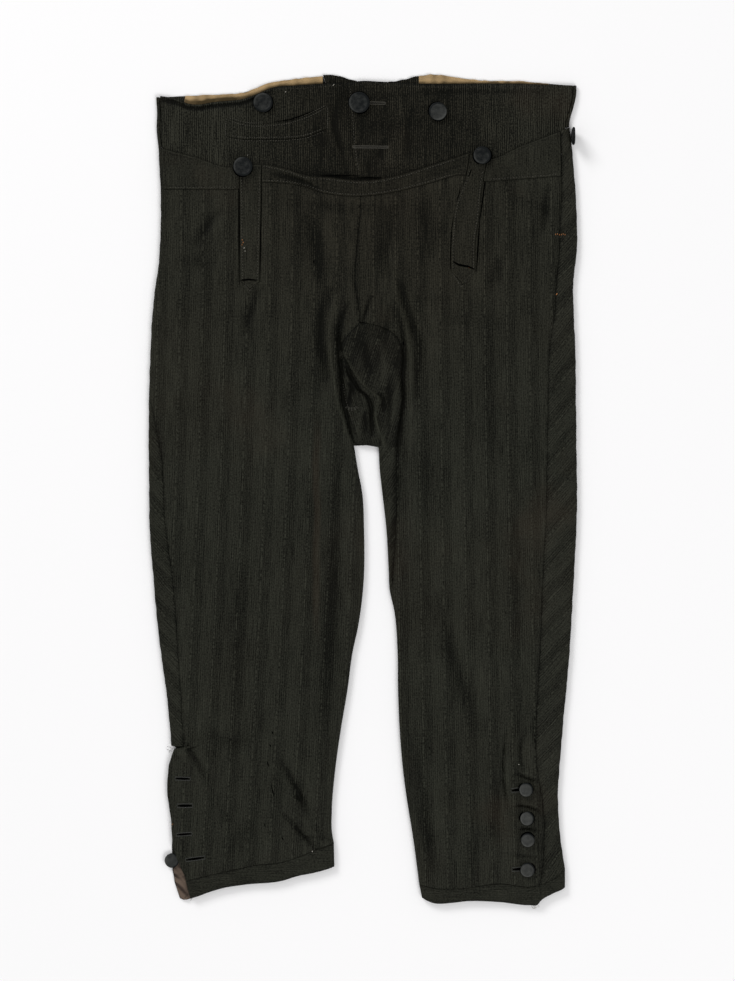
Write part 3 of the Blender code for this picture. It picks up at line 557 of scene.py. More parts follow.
def cloth(
    name, x, y, z, grain, finish=silk, wall=SILK_WALL, absent=None, lift=0.0, middle=None, beneath=None,
):
    """A thin shell of cloth through a grid of points, its wall towards the middle height or downwards, or
    down to the heights beneath. It stands for the CAD node of its name."""
    rows, columns = x.shape
    shell = bmesh.new()
    bmesh.ops.create_grid(shell, x_segments=columns - 1, y_segments=rows - 1, size=1)
    shell.verts.ensure_lookup_table()
    grain_layer = shell.loops.layers.uv.new("grain")
    lift_layer = shell.verts.layers.float.new("lift")
    places = np.stack([x, y, z], axis=-1).reshape(-1, 3) * MM
    # The lift becomes the lift attribute, from which the materials paint troughs darker and ridges lighter:
    # painted shade and painted highlight.
    lifts = np.broadcast_to(np.clip(lift / LIFT_SCALE, -1.6, 1.3), x.shape).ravel()
    for vertex, place, raised in zip(shell.verts, places, lifts):
        vertex.co = place
        vertex[lift_layer] = raised
    down_grain = np.stack([value.ravel() for value in grain], axis=-1) * MM
    for face in shell.faces:
        for loop in face.loops:
            loop[grain_layer].uv = down_grain[loop.vert.index]
    if absent is not None:
        gone = [shell.verts[number] for number in np.flatnonzero(absent.ravel())]
        bmesh.ops.delete(shell, geom=gone, context="VERTS")
    shell.normal_update()
    level = -1.0 if middle is None else middle * MM
    facing = sum(
        face.normal.z * face.calc_area() * (face.calc_center_median().z - level) for face in shell.faces
    )
    if facing < 0:
        bmesh.ops.reverse_faces(shell, faces=shell.faces)
    mesh = bpy.data.meshes.new(name)
    shell.to_mesh(mesh)
    shell.free()
    mesh.materials.append(finish)
    piece = bpy.data.objects.new(name + "_cloth", mesh)
    bpy.context.scene.collection.objects.link(piece)
    solid = piece.modifiers.new("wall", "SOLIDIFY")
    solid.thickness = wall * MM
    solid.offset = -1
    graph = bpy.context.evaluated_depsgraph_get()
    piece.data = bpy.data.meshes.new_from_object(piece.evaluated_get(graph))
    piece.modifiers.clear()
    bpy.data.meshes.remove(mesh)
    if beneath is not None:
        for top, vertex in zip(range(x.size), piece.data.vertices[x.size :]):
            vertex.co = (*places[top][:2], np.ravel(beneath)[top] * MM)
    piece.data.shade_smooth()
    piece.data.set_sharp_from_angle(angle=math.radians(50))
    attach(piece, "root")
    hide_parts(name)


def leg_inner(towards, y):
    """X of a leg's inner edge; above the crotch, of a line well past the centre."""
    inner = left_inner(y) if towards > 0 else right_inner(y)
    return np.where(y > CROTCH, -towards * PAST_CENTRE, inner)


def inner_seam_in(towards, y):
    """Distance of the inside leg seam from the inner edge, under the edge's radius where it is round it."""
    if towards < 0:
        inseam = right_inseam(y)
        below = line((-345, -1.0), (0, -1.0), (25, -0.5), (CROTCH, 2.0))(y)
    else:
        inseam = left_inseam(y)
        round_edge = line((-366, -1.0), (-120, -1.0), (SEAM_ON_TOP, 1.6))(y)
        below = np.where(y < SEAM_ON_TOP, round_edge, inseam - left_inner(y))
    on_top = np.where(y > INSEAMS_MEET, centre_front(y), inseam)
    return np.where(y > CROTCH, towards * (on_top - leg_inner(towards, y)), below)


def outer_line(towards, y, front=True):
    """X of a leg's outer edge, a little uneven; at the open knee, of the flap or of the layer under it."""
    uneven = 0.12 * np.sin(y / 4.3 + 2 * np.sin(y / 19)) + 0.1 * np.sin(y / 1.9 + 3 * np.sin(y / 31))
    if towards > 0:
        return left_edge(y) + uneven
    at_knee = right_flap(y) if front else right_under(y) - LEG_RADIUS
    return uneven + np.where(y < KNEE_OPENING, at_knee, right_edge(y))


def outer_seam_in(towards, y):
    if towards > 0:
        return left_seam_in(y)
    return np.where(y < KNEE_OPENING, 0.0, right_seam_in(y))


def settle(rows, columns, place_of, low, high):
    """The grid of a panel: each point's X, Y and Z, where its Y bends with the hem or top at its own X."""
    y = np.repeat(rows[:, None], columns, axis=1)
    nominal = y.copy()
    for _ in range(6):
        x, z, way = place_of(y)
        y = row_place(nominal, low(x), high(x))
    return x, y, z, way


LEAST_ON_TOP = 0.6
SEAM_SHADE = 1.5


def back_panel(side, towards, band_seam):
    """Its columns run in five stretches: over the top, round the outer edge, under, round the inner edge
    and over the top again."""
    radius = LEG_RADIUS
    top_shares = np.linspace(0, 1, 11)[:-1]
    turn_shares = np.linspace(0, 1, 8)[:-1]
    bottom_shares = np.linspace(0, 1, 42)[:-1]
    sections = np.concatenate(
        [top_shares, 1 + turn_shares, 2 + bottom_shares, 3 + turn_shares, 4 + np.append(top_shares, 1)]
    )
    rows = nominal_rows()

    def place_of(y):
        in_seat = y > CROTCH
        outer = outer_line(towards, y, front=False)
        inner = np.where(in_seat, centre_back_below(y) + towards * (SEAM_GAP - radius), leg_inner(towards, y))
        flat = np.abs(outer - inner) - LEG_HEIGHT
        start = -(outer_seam_in(towards, y) - radius - SEAM_GAP)
        end = 2 * HALF_TURN + flat + inner_seam_in(towards, y) - radius - SEAM_GAP
        end = np.where(in_seat, 2 * HALF_TURN + flat + radius, end)
        first = start + np.maximum(-start, LEAST_ON_TOP)
        last = end - np.maximum(end - 2 * HALF_TURN - flat, LEAST_ON_TOP)
        stops = [start, first, HALF_TURN + 0 * start, HALF_TURN + flat, last, end]
        stretch = np.minimum(np.floor(sections), 4)
        way = sum(
            np.where(stretch == number, a + (b - a) * (sections - number), 0)
            for number, (a, b) in enumerate(zip(stops, stops[1:]))
        )
        x, z = ring(outer, inner, way)
        return x, z, way

    def high(x):
        seat = np.full_like(x, SEAT_SEAM)
        return np.where(np.broadcast_to(sections, x.shape) < 2.02, front_top(x), seat) - SEAM_GAP

    x, y, z, way = settle(rows, len(sections), place_of, lambda x: band_seam(x) + SEAM_GAP, high)
    nominal = np.repeat(rows[:, None], len(sections), axis=1)
    on_top = z > LEG_HEIGHT - 0.01
    dip = seam_dip(way - way[:, :1], y) + np.where(nominal <= CROTCH, seam_dip(way[:, -1:] - way, y), 0)
    lift = np.where(on_top, upper_lift(x, y) + dip, 0)
    under = np.where(z < 0.01, crease_lift(y, x, UNDER_CREASES), 0)
    absent = (nominal > CROTCH) & (sections > 3.01)
    if towards < 0:
        absent |= (nominal < KNEE_OPENING) & (sections < 2)
    reach = way * towards
    grain = (
        y * math.cos(BIAS) - reach * math.sin(BIAS) * towards,
        y * math.sin(BIAS) + reach * math.cos(BIAS) * towards,
    )
    # Shading for the colour: the crease height and the seam dips, made deeper, give painted shade in troughs
    # and beside seams and painted highlight on ridges.
    shown = lift + SEAM_SHADE * dip * on_top
    cloth("back_" + side, x, y, z + lift + under, grain, absent=absent, lift=shown, middle=radius)
    return x, y, z


right_back = back_panel("right", -1, right_band_seam)
left_back = back_panel("left", 1, left_band_seam)


# Front panels, one to a leg, with the stripe down the leg. They meet at the centre front and carry the two
# halves of the fall; outside each slit they run on up to the waistband.

def leaning(x, y, towards):
    """Across the grain: the stripes lean a little, more on the right leg, and stand upright in the fall."""
    if towards > 0:
        return x + line((-370, -5.8), (60, 0.4), (200, 1.6), (330, 1.6))(y)
    return x - line((-370, -16.5), (60, 2.7), (200, 5.6), (330, 5.6))(y)


def front_panel(side, towards, band_seam):
    shares = even_shares(186)
    rows = nominal_rows()

    def place_of(y):
        outer = outer_line(towards, y)
        inner = leg_inner(towards, y)
        flat = np.abs(outer - inner) - LEG_HEIGHT
        first = -flat + inner_seam_in(towards, y) - LEG_RADIUS + SEAM_GAP
        last = -(outer_seam_in(towards, y) - LEG_RADIUS + SEAM_GAP)
        way = first + (last - first) * shares
        x, z = ring(outer, inner, way)
        return x, z, way

    x, y, z, way = settle(rows, len(shares), place_of, lambda x: band_seam(x) + SEAM_GAP, front_top)
    dip = seam_dip(way - way[:, :1], y) + seam_dip(way[:, -1:] - way, y)
    on_top = z > LEG_HEIGHT - 0.01
    lift = np.where(on_top, upper_lift(x, y) + dip, 0)
    grain = (leaning(x, y, towards), y)
    # Shading for the colour: the crease height and the seam dips, made deeper, give painted shade in troughs
    # and beside seams and painted highlight on ridges.
    shown = lift + SEAM_SHADE * dip * on_top
    cloth("front_" + side, x, y, z + lift, grain, lift=shown)
    return x, y, z


right_front = front_panel("right", -1, right_band_seam)
left_front = front_panel("left", 1, left_band_seam)


# Fork: the seat cloth of both back panels that comes up between the legs on to the upper layer, joined by
# the centre back seam. Its lower edge rolls down over the crotch.

FORK_LIP = 3.3
FORK_ROLL = 3.0
FORK_WALL = 0.9
FORK_SEAM_DEEP = 0.6


def fork(side, left, right, top, turn):
    rolled = np.linspace(0, math.pi / 2, 6)
    above = np.linspace(CROTCH + 4.5, top, round((top - CROTCH - 4) / 0.8))
    rows = np.append(CROTCH + 0.1 + FORK_ROLL * (1 - np.cos(rolled)), above)
    drops = np.append(1 - np.sin(rolled), np.zeros(len(rows) - len(rolled)))
    shares = np.linspace(0, 1, 45)
    y = np.repeat(rows[:, None], len(shares), axis=1)
    x = left(y) * (1 - shares) + np.maximum(right(y), left(y) + 0.3) * shares
    lip = drops[:, None] * np.clip((19 - x) / 5, 0, 1) * FORK_LIP
    tilt = (2.0 - 3.6 * np.clip((x + 8) / 22, 0, 1)) * np.clip((50 - y) / 9, 0, 1)
    y = y + tilt
    dips = (seam_dip(distance, y, FORK_SEAM_DEEP) for distance in (x - x[:, :1], x[:, -1:] - x))
    lift = sum(dips, upper_lift(x, y))
    angle = math.radians(turn)
    grain = (x * math.cos(angle) + y * math.sin(angle), y * math.cos(angle) - x * math.sin(angle))
    # The colour follows the crease height 1.7 times as strong and lowered, so troughs are painted darker and
    # ridges lighter (painted shade and painted highlight) and the whole fork reads darker.
    height, shown = LEG_HEIGHT + lift - lip, 1.7 * lift - 1.15
    cloth("fork_" + side, x, y, height, grain, wall=FORK_WALL, lift=shown)


centre_back_on_top = line(
    (38, 14.5), (49, 16), (60, 13.6), (67, 12.6), (78, 12.6), (85, 11.5), (91, 3), (105, -9), (120, -17),
    (136, -25),
)
fork("right", lambda y: right_inseam(y) + SEAM_GAP, lambda y: centre_back_on_top(y) - SEAM_GAP, 118, 14)
fork(
    "left",
    lambda y: np.maximum(centre_back_on_top(y), right_inseam(y)) + SEAM_GAP,
    lambda y: left_inseam(y) - SEAM_GAP,
    150.2,
    -18,
)


# Knee bands: a strip of the silk, stripes round the leg, turned under at the hem and stitched to the panels.
# Each runs from the edge of the front flap round the inner edge to the edge of the lower layer.

OPEN_KNEE_COLUMNS = 17
BAND_WALL = 0.9
BAND_TURN = 1.4


def knee_band(side, front, back, hem, outer_slant, inner_slant, left_out=None):
    """The band hangs from the lowest rows of the panels. The columns left out are where the knee is open."""
    front, back = ([grid[0][::-1] for grid in panel] for panel in (front, back))
    x, y, z = (np.concatenate([on_top, under[:left_out]]) for on_top, under in zip(front, back))
    part = (x - front[0][-1]) / (front[0][0] - front[0][-1])
    low_x = x + outer_slant * part + inner_slant * (1 - part)
    low_y = hem(low_x)
    share = np.linspace(0, 1, 13)[:, None]
    wide_x = low_x * (1 - share) + x * share
    wide_y = low_y * (1 - share) + (y - 2 * SEAM_GAP) * share
    from_hem = (wide_y - low_y) / BAND_TURN
    turned = 1 - np.sqrt(np.clip(1 - (1 - np.clip(from_hem, 0, 1)) ** 2, 0, 1))
    on_top = np.clip((z - LEG_RADIUS) / LEG_RADIUS, 0, 1)
    along = np.cumsum(np.hypot(np.diff(x, prepend=x[0]), np.diff(z, prepend=z[0])))
    crimp = 0.16 * np.sin(along / 1.9 + 2 * np.sin(along / 17)) + 0.2 * np.sin(along / 8.3 + wide_y / 5)
    puff = 0.35 * np.sin(math.pi * share) + crimp * np.sin(math.pi * share) ** 0.5
    lift = on_top * (puff - 1.3 * turned + seam_dip((1 - share) * 15, along, 0.5))
    grain = (wide_y, np.broadcast_to(along, wide_y.shape))
    height = np.broadcast_to(z, wide_y.shape) + lift
    # The colour follows its height, lowered a little: painted shade where the hem turns under and in the
    # troughs, painted highlight on the puffs, and a little darker all over.
    cloth(
        "knee_band_" + side, wide_x, wide_y, height, grain, plain_silk, BAND_WALL, lift=lift - 0.2,
        middle=LEG_RADIUS,
    )


knee_band("right", right_front, right_back, right_hem, 4.5, 0.5, -OPEN_KNEE_COLUMNS)
knee_band("left", left_front, left_back, left_hem, 0.4, 2.5)


# Waistband, back: two pieces of silk make the lower layer and turn up round the sides, with a gusset between
# them at the centre back.

band_silk = silk_finish("waistband_silk", 0.45, 1.8, 3.0, contrast=1.65, darkens=0.34)
WAIST_HEIGHT = 3.9
WAIST_RADIUS = WAIST_HEIGHT / 2
WAIST_WALL = 0.9
WAIST_CLEARANCE = 0.3
SEAT_TURN = 4.25
LAID_OVER_TOP = 0.85
GUSSET_TOP = 373
BAND_TOP_AT_GUSSET = 372.3
back_top = line(
    (-187, 353), (-158, 354.5), (-140, 355.2), (-124, 356), (-108, 357.4), (-98, 360.6), (-89, 364.8),
    (-69, 368.6), (-50, 371), (-36, 372.3), (51, 372.3), (59, 373.6), (70, 373.2), (83, 371.3),
    (104, 368.6), (142, 367.6), (166, 365.6), (190, 363.6),
)
gusset_top = line(
    (-36, 373.5), (-23, 372.6), (-14, 370), (-7, 368), (13, 366.3), (24, 367), (34, 368.5), (50, 372.6),
)
waist_right = line((290, -182), (308, -184), (326, -185.6), (340, -185.2), (355, -186))
waist_left = line((290, 185.6), (318, 185.4), (330, 185.6), (345, 189.5), (356, 191.8), (364, 192))
gusset_right = line((SEAT_SEAM, -7.7), (GUSSET_TOP, -36.3))
gusset_left = line((SEAT_SEAM, 10.3), (GUSSET_TOP, 50.3))


def ring_waist(outer, inner, way):
    """As ring, for the lower tube of the waistband."""
    towards = np.sign(outer - inner)
    turned = np.clip(way / WAIST_RADIUS, 0, math.pi)
    over, round_edge = way < 0, way < math.pi * WAIST_RADIUS
    x = np.where(
        round_edge,
        outer - towards * WAIST_RADIUS * (1 - np.sin(turned)),
        outer - towards * (WAIST_RADIUS + way - math.pi * WAIST_RADIUS),
    )
    x = np.where(over, outer - towards * (WAIST_RADIUS - way), x)
    z = np.where(round_edge, WAIST_RADIUS * (1 + np.cos(turned)), 0.0)
    return x, np.where(over, WAIST_HEIGHT, z)


def back_waistband(side, towards, outside, gusset_side, side_top, outer_top):
    rows = np.linspace(0, 1, 30)[:, None]
    y_side = side_top * (1 - rows) + outer_top * rows
    outer = outside(y_side)
    seat_y = SEAT_SEAM + (BAND_TOP_AT_GUSSET - SEAT_SEAM) * rows
    inner = gusset_side(seat_y) + towards * SEAM_GAP
    flat = np.abs(outer - inner) - WAIST_RADIUS
    turn = math.pi * WAIST_RADIUS
    clear = turn + LEG_RADIUS + WAIST_CLEARANCE - WAIST_RADIUS
    over, round_edge = np.linspace(-LAID_OVER_TOP, 0, 4)[:-1], np.linspace(0, turn, 9)[:-1]
    sections = np.concatenate([over, round_edge, [turn, clear, clear + SEAT_TURN]])
    beyond = clear + SEAT_TURN + (turn + flat - clear - SEAT_TURN) * np.linspace(0, 1, 50)[1:]
    way = np.concatenate([np.broadcast_to(sections, (len(rows), len(sections))), beyond], axis=1)
    x, z = ring_waist(outer, inner - towards * WAIST_RADIUS, way)
    low_ends = side_top + WAIST_CLEARANCE, SEAT_SEAM + SEAM_GAP
    low = np.interp(way, (clear, clear + SEAT_TURN), low_ends)
    at_edge = np.minimum(back_top(x), back_top(outer - towards * WAIST_RADIUS))
    high = np.where(way < turn, at_edge, back_top(x))
    y = low * (1 - rows) + high * rows
    cloth("waistband_back_" + side, x, y, z, (x, y), band_silk, WAIST_WALL, middle=WAIST_RADIUS)


back_waistband("right", -1, waist_right, gusset_right, 308.0, 355.0)
back_waistband("left", 1, waist_left, gusset_left, 326.0, 364.0)

shares = np.linspace(0, 1, 40)
gusset_rows = np.linspace(0, 1, 30)[:, None]
gusset_y = SEAT_SEAM + SEAM_GAP + (GUSSET_TOP - SEAT_SEAM) * gusset_rows
gusset_x = (gusset_right(gusset_y) + SEAM_GAP) * (1 - shares) + (gusset_left(gusset_y) - SEAM_GAP) * shares
uneven_top = gusset_top(gusset_x) + 0.25 * np.sin(gusset_x / 1.7)
gusset_y = SEAT_SEAM + SEAM_GAP + (uneven_top - SEAT_SEAM) * gusset_rows
gathered = 1.0 + 0.8 * gusset_rows * np.sin(gusset_x / 3.1) ** 2
cloth("back_gusset", gusset_x, gusset_y, gathered, (gusset_x, gusset_y), band_silk, WAIST_WALL)


# Linings: unbleached tan cotton in a plain weave, sewn inside the waistband, where it shows above the top
# edge worn at the waist and with painted shade just above the band's edge, and inside the opening at the
# right knee, where it is dirtier and painted darker in its crumples.

LINING_WALL = 0.8
LINING_SHOWS = 30
COTTON_PITCH = 0.75


def cotton_finish(name, clean, soiled_and_shaded):
    """Plain weave cotton with dirt in patches, and painted darker where it lies low: painted shade."""
    finish, shader, grain, place, lift = new_finish(name, 0.85, 0.15, 0.1)
    parts = grain.node("ShaderNodeSeparateXYZ", {}, _0=grain)
    warp, weft = ((Shade(grain.tree, parts.outputs[way]) * 1000).wave(COTTON_PITCH) for way in range(2))
    soil_and_shade = place.noise(60, 4).between(0.42, 0.68) * 0.26 + lift.between(0.2, -0.9) * 0.9
    dress(shader, soil_and_shade.tint(clean, soiled_and_shaded), (warp + weft) * 0.5 + place.noise(500, 2) * 0.5, 0.0003)
    return finish


# The second colour of each is reached both by dirt in patches and by painted shade where the cloth lies low.
cotton = cotton_finish("tan_cotton", (0.44, 0.300, 0.150), (0.050, 0.034, 0.013))
knee_cotton = cotton_finish("soiled_tan_cotton", (0.135, 0.098, 0.074), (0.028, 0.019, 0.015))

waist_top_right = line(
    (-185, 354.6), (-177, 353.6), (-169, 352), (-158, 347.6), (-148, 346.5), (-135, 348.6), (-120, 350),
    (-108, 351.5), (-98, 355), (-82, 361.6), (-60, 363.8), (-36, 365.4), (-16, 366.3), (8, 365),
)
waist_top_left = line(
    (-16, 366), (-8, 367), (-3, 367.7), (15, 367.2), (33, 366.3), (50, 365.4), (110, 365.4), (168, 364.5),
    (192, 363.6),
)


def waist_top(x, side):
    return waist_top_right(x) if side == "right" else waist_top_left(x)


for side, start, end in (("right", -178.0, -36.3), ("left", 50.3, 184.0)):
    x = np.broadcast_to(np.linspace(start, end, 110), (14, 110))
    rows = np.linspace(0, 1, 14)[:, None]
    high = back_top(x) + 0.35 * np.sin(x / 2.1 + 2 * np.sin(x / 9)) * np.sin(x / 13)
    high = np.where((x > 168) | (x < -160), np.minimum(high, waist_top(x, side) - 0.8), high)
    low = back_top(x) - LINING_SHOWS
    y = low * (1 - rows) + high * rows
    gathers = 0.3 * np.sin(x / 2.3 + 2.6 * np.sin(x / 11)) * np.sin(x / 17 + 1) * rows**3
    roll = -0.9 * np.clip((rows - 0.93) / 0.07, 0, 1) ** 2
    # Painted shade: the lining is painted darker just above the waistband's top edge, more so towards the
    # right end, and in the troughs of its gathers.
    covered = (waist_top(x, side) - y + 3.4 + 2.0 * np.clip((-100 - x) / 20, 0, 1)) / 3.0
    shown = 1.9 * gathers - 1.9 * np.clip(covered, 0, 1.3) ** 1.5
    cloth("lining_" + side, x, y, 2.35 + gathers + roll, (x, y), cotton, LINING_WALL, lift=shown)


KNEE_LINING_WIDE = 18
KNEE_LINING_TOP = -329


def across_knee_lining(y, shares):
    return (right_under(y) + 0.7) * (1 - shares) + (right_under(y) + KNEE_LINING_WIDE) * shares


rows = np.linspace(0, 1, 20)[:, None]
shares = np.linspace(0, 1, 16)
x = across_knee_lining(-341 - 26 * (1 - rows), shares)
y = (right_hem(x) + 0.6) * (1 - rows) + KNEE_LINING_TOP * rows
x = across_knee_lining(y, shares)
crumple = 0.6 * np.sin(y / 1.3 + x / 1.7 + np.sin(y / 5)) * np.sin(x / 4.1 + y / 9)
# Painted shade: the lower its crumples lie, the darker the cotton is painted.
cloth(
    "lining_knee_right", x, y, 2.3 + crumple, (x, y), knee_cotton, LINING_WALL, lift=3.2 * crumple - 0.3,
)


# Waistband, front: two halves of ribbed silk, the wearer's left lapped over the right. The seam to the side
# bands and the free fall lie on their lower edges.

fall_lap = line((262, -5), (283, -6.3), (309, -9.9), (334, -11.7), (366, -14.4))
LAP_UNDER_FRONT = 13.0
UNDERLAP_DROP = 1.35
UNDERLAP_END = 8.0
WAIST_DOWN = (
    (300, 352, -17, -25, -24, 2.6, -1.3),
    (300, 350, -20, -31, -30, 3.0, 0.6),
    (296, 336, -34, -38, -42, 4.0, -0.5),
    (284, 318, 12, 15, 22, 3.0, -0.7),
    (286, 316, 20, 24, 28, 3.0, 0.5),
    (290, 352, 40, 41, 44, 3.4, -0.6),
    (292, 350, 34, 34, 38, 3.0, 0.4),
    (280, 300, -2, -3, -4, 1.8, 0.8),
    (276, 304, 4, 6, 8, 2.0, -0.9),
    (276, 300, -14, -15, -18, 2.0, -0.7),
    (296, 356, 168, 172, 176, 5.0, -0.5),
    (300, 356, 176, 180, 184, 4.0, 0.5),
    (300, 350, -172, -168, -160, 5.0, 0.4),
)
WAIST_ACROSS = (
    (-150, -40, 340, 337, 344, 5.0, 0.35),
    (-120, -30, 322, 318, 326, 5.0, -0.3),
    (-10, 60, 330, 326, 332, 4.0, -0.4),
    (0, 50, 352, 354, 356, 3.0, -0.35),
    (0, 80, 300, 294, 300, 4.0, 0.5),
    (40, 170, 356, 358, 357, 2.4, -0.5),
    (40, 175, 361, 362, 361, 1.6, 0.35),
    (-60, -16, 286, 283, 282, 2.2, -0.6),
    (-40, 16, 283, 280, 281, 2.2, -1.0),
)


def waist_creases(x, y):
    return crease_lift(y, x, WAIST_DOWN) + crease_lift(x, y, WAIST_ACROSS) + 0.7 * ripple(x, y)


def waist_within(lift):
    """Creases no deeper than the band is thick, and no higher than it puffs."""
    return np.clip(lift, -1.15, 1.4)


def moved(curve, by):
    """The same curve, moved."""
    return lambda place: curve(place) + by


def level_at(value):
    """A curve that stays at one value."""
    return lambda place: value + 0 * place


def front_waistband(side, left, right, high):
    shares = even_shares(195, cell=2.0)
    rows = np.linspace(0, 1, 52)[:, None]
    y = front_top(np.linspace(left(330.0), right(330.0), len(shares))) * (1 - rows) + 365 * rows
    for _ in range(8):
        x = left(y) * (1 - shares) + right(y) * shares
        top = high(x)
        y = (front_top(x) - LAP_UNDER_FRONT) * (1 - rows) + top * rows
    lift = waist_creases(x, y)
    below = top - y
    if side == "right":
        rolled = np.clip((-80 - x) / 15, 0, 1) * np.clip((x + 184) / 12, 0.2, 1)
        roll, hollow = (np.exp(-(((below - at) / wide) ** 2)) for at, wide in ((1.4, 1.1), (3.6, 1.7)))
        lift += rolled * (0.7 * roll - 2.4 * hollow)
    lift -= 0.9 * np.clip(1 - below / 1.2, 0, 1) ** 2
    height = WAIST_HEIGHT + waist_within(lift)
    if side == "right":
        height -= np.clip((x + 25) / 8, 0, 1) * UNDERLAP_DROP
    else:
        height -= 0.35 * np.exp(-((x - x[:, :1]) / 1.0) ** 2)
    # The crease height goes to the colour 2.4 times as strong, painting the hollow under the rolled top edge,
    # the top edge and the creases dark and the ridges light: painted shade and painted highlight.
    cloth("waistband_front_" + side, x, y, height, (x, y), band_silk, WAIST_WALL, lift=2.4 * lift)


side_in = WAIST_RADIUS + 1.6
front_waistband("right", moved(waist_right, side_in), level_at(UNDERLAP_END), waist_top_right)
front_waistband("left", fall_lap, moved(waist_left, -side_in), waist_top_left)


# Bands and plackets on the upper layer: the facing along the fall's free edge, the two side bands below the
# waistband, and a strip down each slit of the fall with a pointed end. Each is turned in and edge-stitched.

STRIP_RISE = 0.8
STRIP_BACK = 0.04
STRIP_EDGE = 0.12
STRIP_WALL = 0.5


def strip(
    name, size, left, right, low, high, tip=None, base=LEG_HEIGHT, finish=plain_silk, lift_at=upper_lift,
):
    """A turned-in strip sewn on to a layer, between two sides and two ends, with rounded edges."""
    wide, tall = size
    shares = even_shares(wide, 2.4, 0.4, 1.6)
    rows = even_shares(tall, 2.4, 0.4, 1.6)[:, None]
    y = low(0.0 * shares) * (1 - rows) + high(0.0 * shares) * rows
    for _ in range(8):
        x = left(y) * (1 - shares) + right(y) * shares
        y = low(x) * (1 - rows) + high(x) * rows
    if tip:
        near = np.clip(1 - (y - low(x)) / 9, 0, 1)
        y = y + near * (tip[1] - low(x)) * (1 - np.abs(2 * shares - 1))
        x = x + near * (tip[0] - x) * 0.2 * (1 - np.abs(2 * shares - 1))
    edge = np.minimum(np.minimum(shares, 1 - shares) * wide, np.minimum(rows, 1 - rows) * tall)
    round_up = np.sqrt(1 - (1 - np.clip(edge / 1.1, 0, 1)) ** 2)
    stitch_line = 0.16 * np.exp(-(((edge - 2.0) / 0.5) ** 2))
    pucker = 0.07 * np.sin((x + y) / 1.3) * np.exp(-(((edge - 2) / 1.6) ** 2))
    lower = base + lift_at(x, y) + STRIP_BACK
    height = lower + STRIP_EDGE + STRIP_RISE * round_up - stitch_line + pucker
    just_inside = np.exp(-(((edge - 1.0) / 0.45) ** 2))
    # Shading for the colour: each edge is painted dark where it rounds down, with a light line just inside it
    # and a dark line along the stitching: painted shade and painted highlight.
    lift = 0.8 * lift_at(x, y) - 4.2 * (1 - round_up) ** 2 + 0.9 * just_inside - 4 * stitch_line
    cloth(name, x, y, height, (x, y), finish, STRIP_WALL, lift=lift, beneath=lower)


placket_right = line((186, -110), (294, -111))
placket_right_inner = line((186, -93), (294, -91))
placket_left = line((196, 79), (228, 79.6), (255, 83), (283, 93), (303, 96))
placket_left_outer = line((196, 101), (223, 101), (245, 104.4), (264, 106), (303, 112))
fall_band_low = line((-98, 277), (-55, 273), (-34, 266.4), (-4, 263.7), (22, 266.4), (47, 272), (84, 282.8))
side_band_left_low = line((112, 277), (190, 282.6))



def right_side_seam(y):
    return outer_line(-1, y) + outer_seam_in(-1, y)


def left_side_seam(y):
    return outer_line(1, y) - outer_seam_in(1, y)


BESIDE = 0.3
side_band_right_low = level_at(270)
band_top, placket_top = moved(front_top, -BESIDE), moved(front_top, -0.8)
right_foot, left_foot = level_at(187), level_at(196)
right_of_fall, left_of_fall = moved(placket_right_inner, BESIDE), moved(placket_left, -BESIDE)
right_of_slit, left_of_slit = moved(placket_right, -BESIDE), moved(placket_left_outer, BESIDE)
right_side, left_side = moved(right_side_seam, 4.4), moved(left_side_seam, -0.5)

# Name, width and length, the curves of its two sides and two ends, and the point of a placket.
for piece in (
    ("fall_band", (186, 14), right_of_fall, left_of_fall, fall_band_low, band_top),
    ("side_band_right", (70, 26), right_side, right_of_slit, side_band_right_low, band_top),
    ("side_band_left", (66, 34), left_of_slit, left_side, side_band_left_low, band_top),
    ("placket_right", (18, 106), placket_right, placket_right_inner, right_foot, placket_top, (-101.7, 180)),
    ("placket_left", (21, 104), placket_left, placket_left_outer, left_foot, placket_top, (88, 184)),
):
    strip(*piece)


# Fob pocket: a shallow curved welt of the waistband's silk on its right half, turned in and stitched all
# round. It covers the slit of a watch pocket, which gapes a little above it.

fob_top = line((-122, 334), (-112, 331), (-102, 329), (-84, 329.3), (-68, 331), (-52, 336), (-33, 345))
fob_low = line((-122, 317.5), (-112, 315.6), (-84, 315), (-68, 315.4), (-53, 317), (-31, 325))


def waist_lift(x, y):
    return waist_within(waist_creases(x, y))


def fob_end(y):
    return -122.0 + 0.6 * np.sin(y / 3)


strip(
    "fob_welt", (88, 15), fob_end, level_at(-33.0), fob_low, fob_top, base=WAIST_HEIGHT, finish=band_silk,
    lift_at=waist_lift,
)


# Covered buttons: flat wooden moulds covered with black silk that is gathered underneath, with a raised rim.
# Three on the waistband, two that hold the fall, one on the left hip, and five left at the knees.

BUTTON_DARK = (0.0030, 0.0040, 0.0044)
# The grey that both worn silk and the painted highlight on the rims reach.
BUTTON_WORN_AND_LIT = (0.100, 0.102, 0.094)
button_silk, shader, grain, place, lift = new_finish("covered_button_silk", 0.5, 0.11, 0.0)
weave = place.noise(1500, 2)
patches = place.noise(260, 4)
# The lift attribute holds each button's tone with its painted rim highlight and painted shade; with patches
# of wear and the weave it mixes the dark silk towards grey.
wear_and_shading = lift * 0.9 + (patches - 0.5) * 0.5 + (weave - 0.5) * 0.3 + 0.04
dress(shader, wear_and_shading.tint(BUTTON_DARK, BUTTON_WORN_AND_LIT), weave * 0.6 + place.noise(600, 2) * 0.4, 0.0002, 0.8)

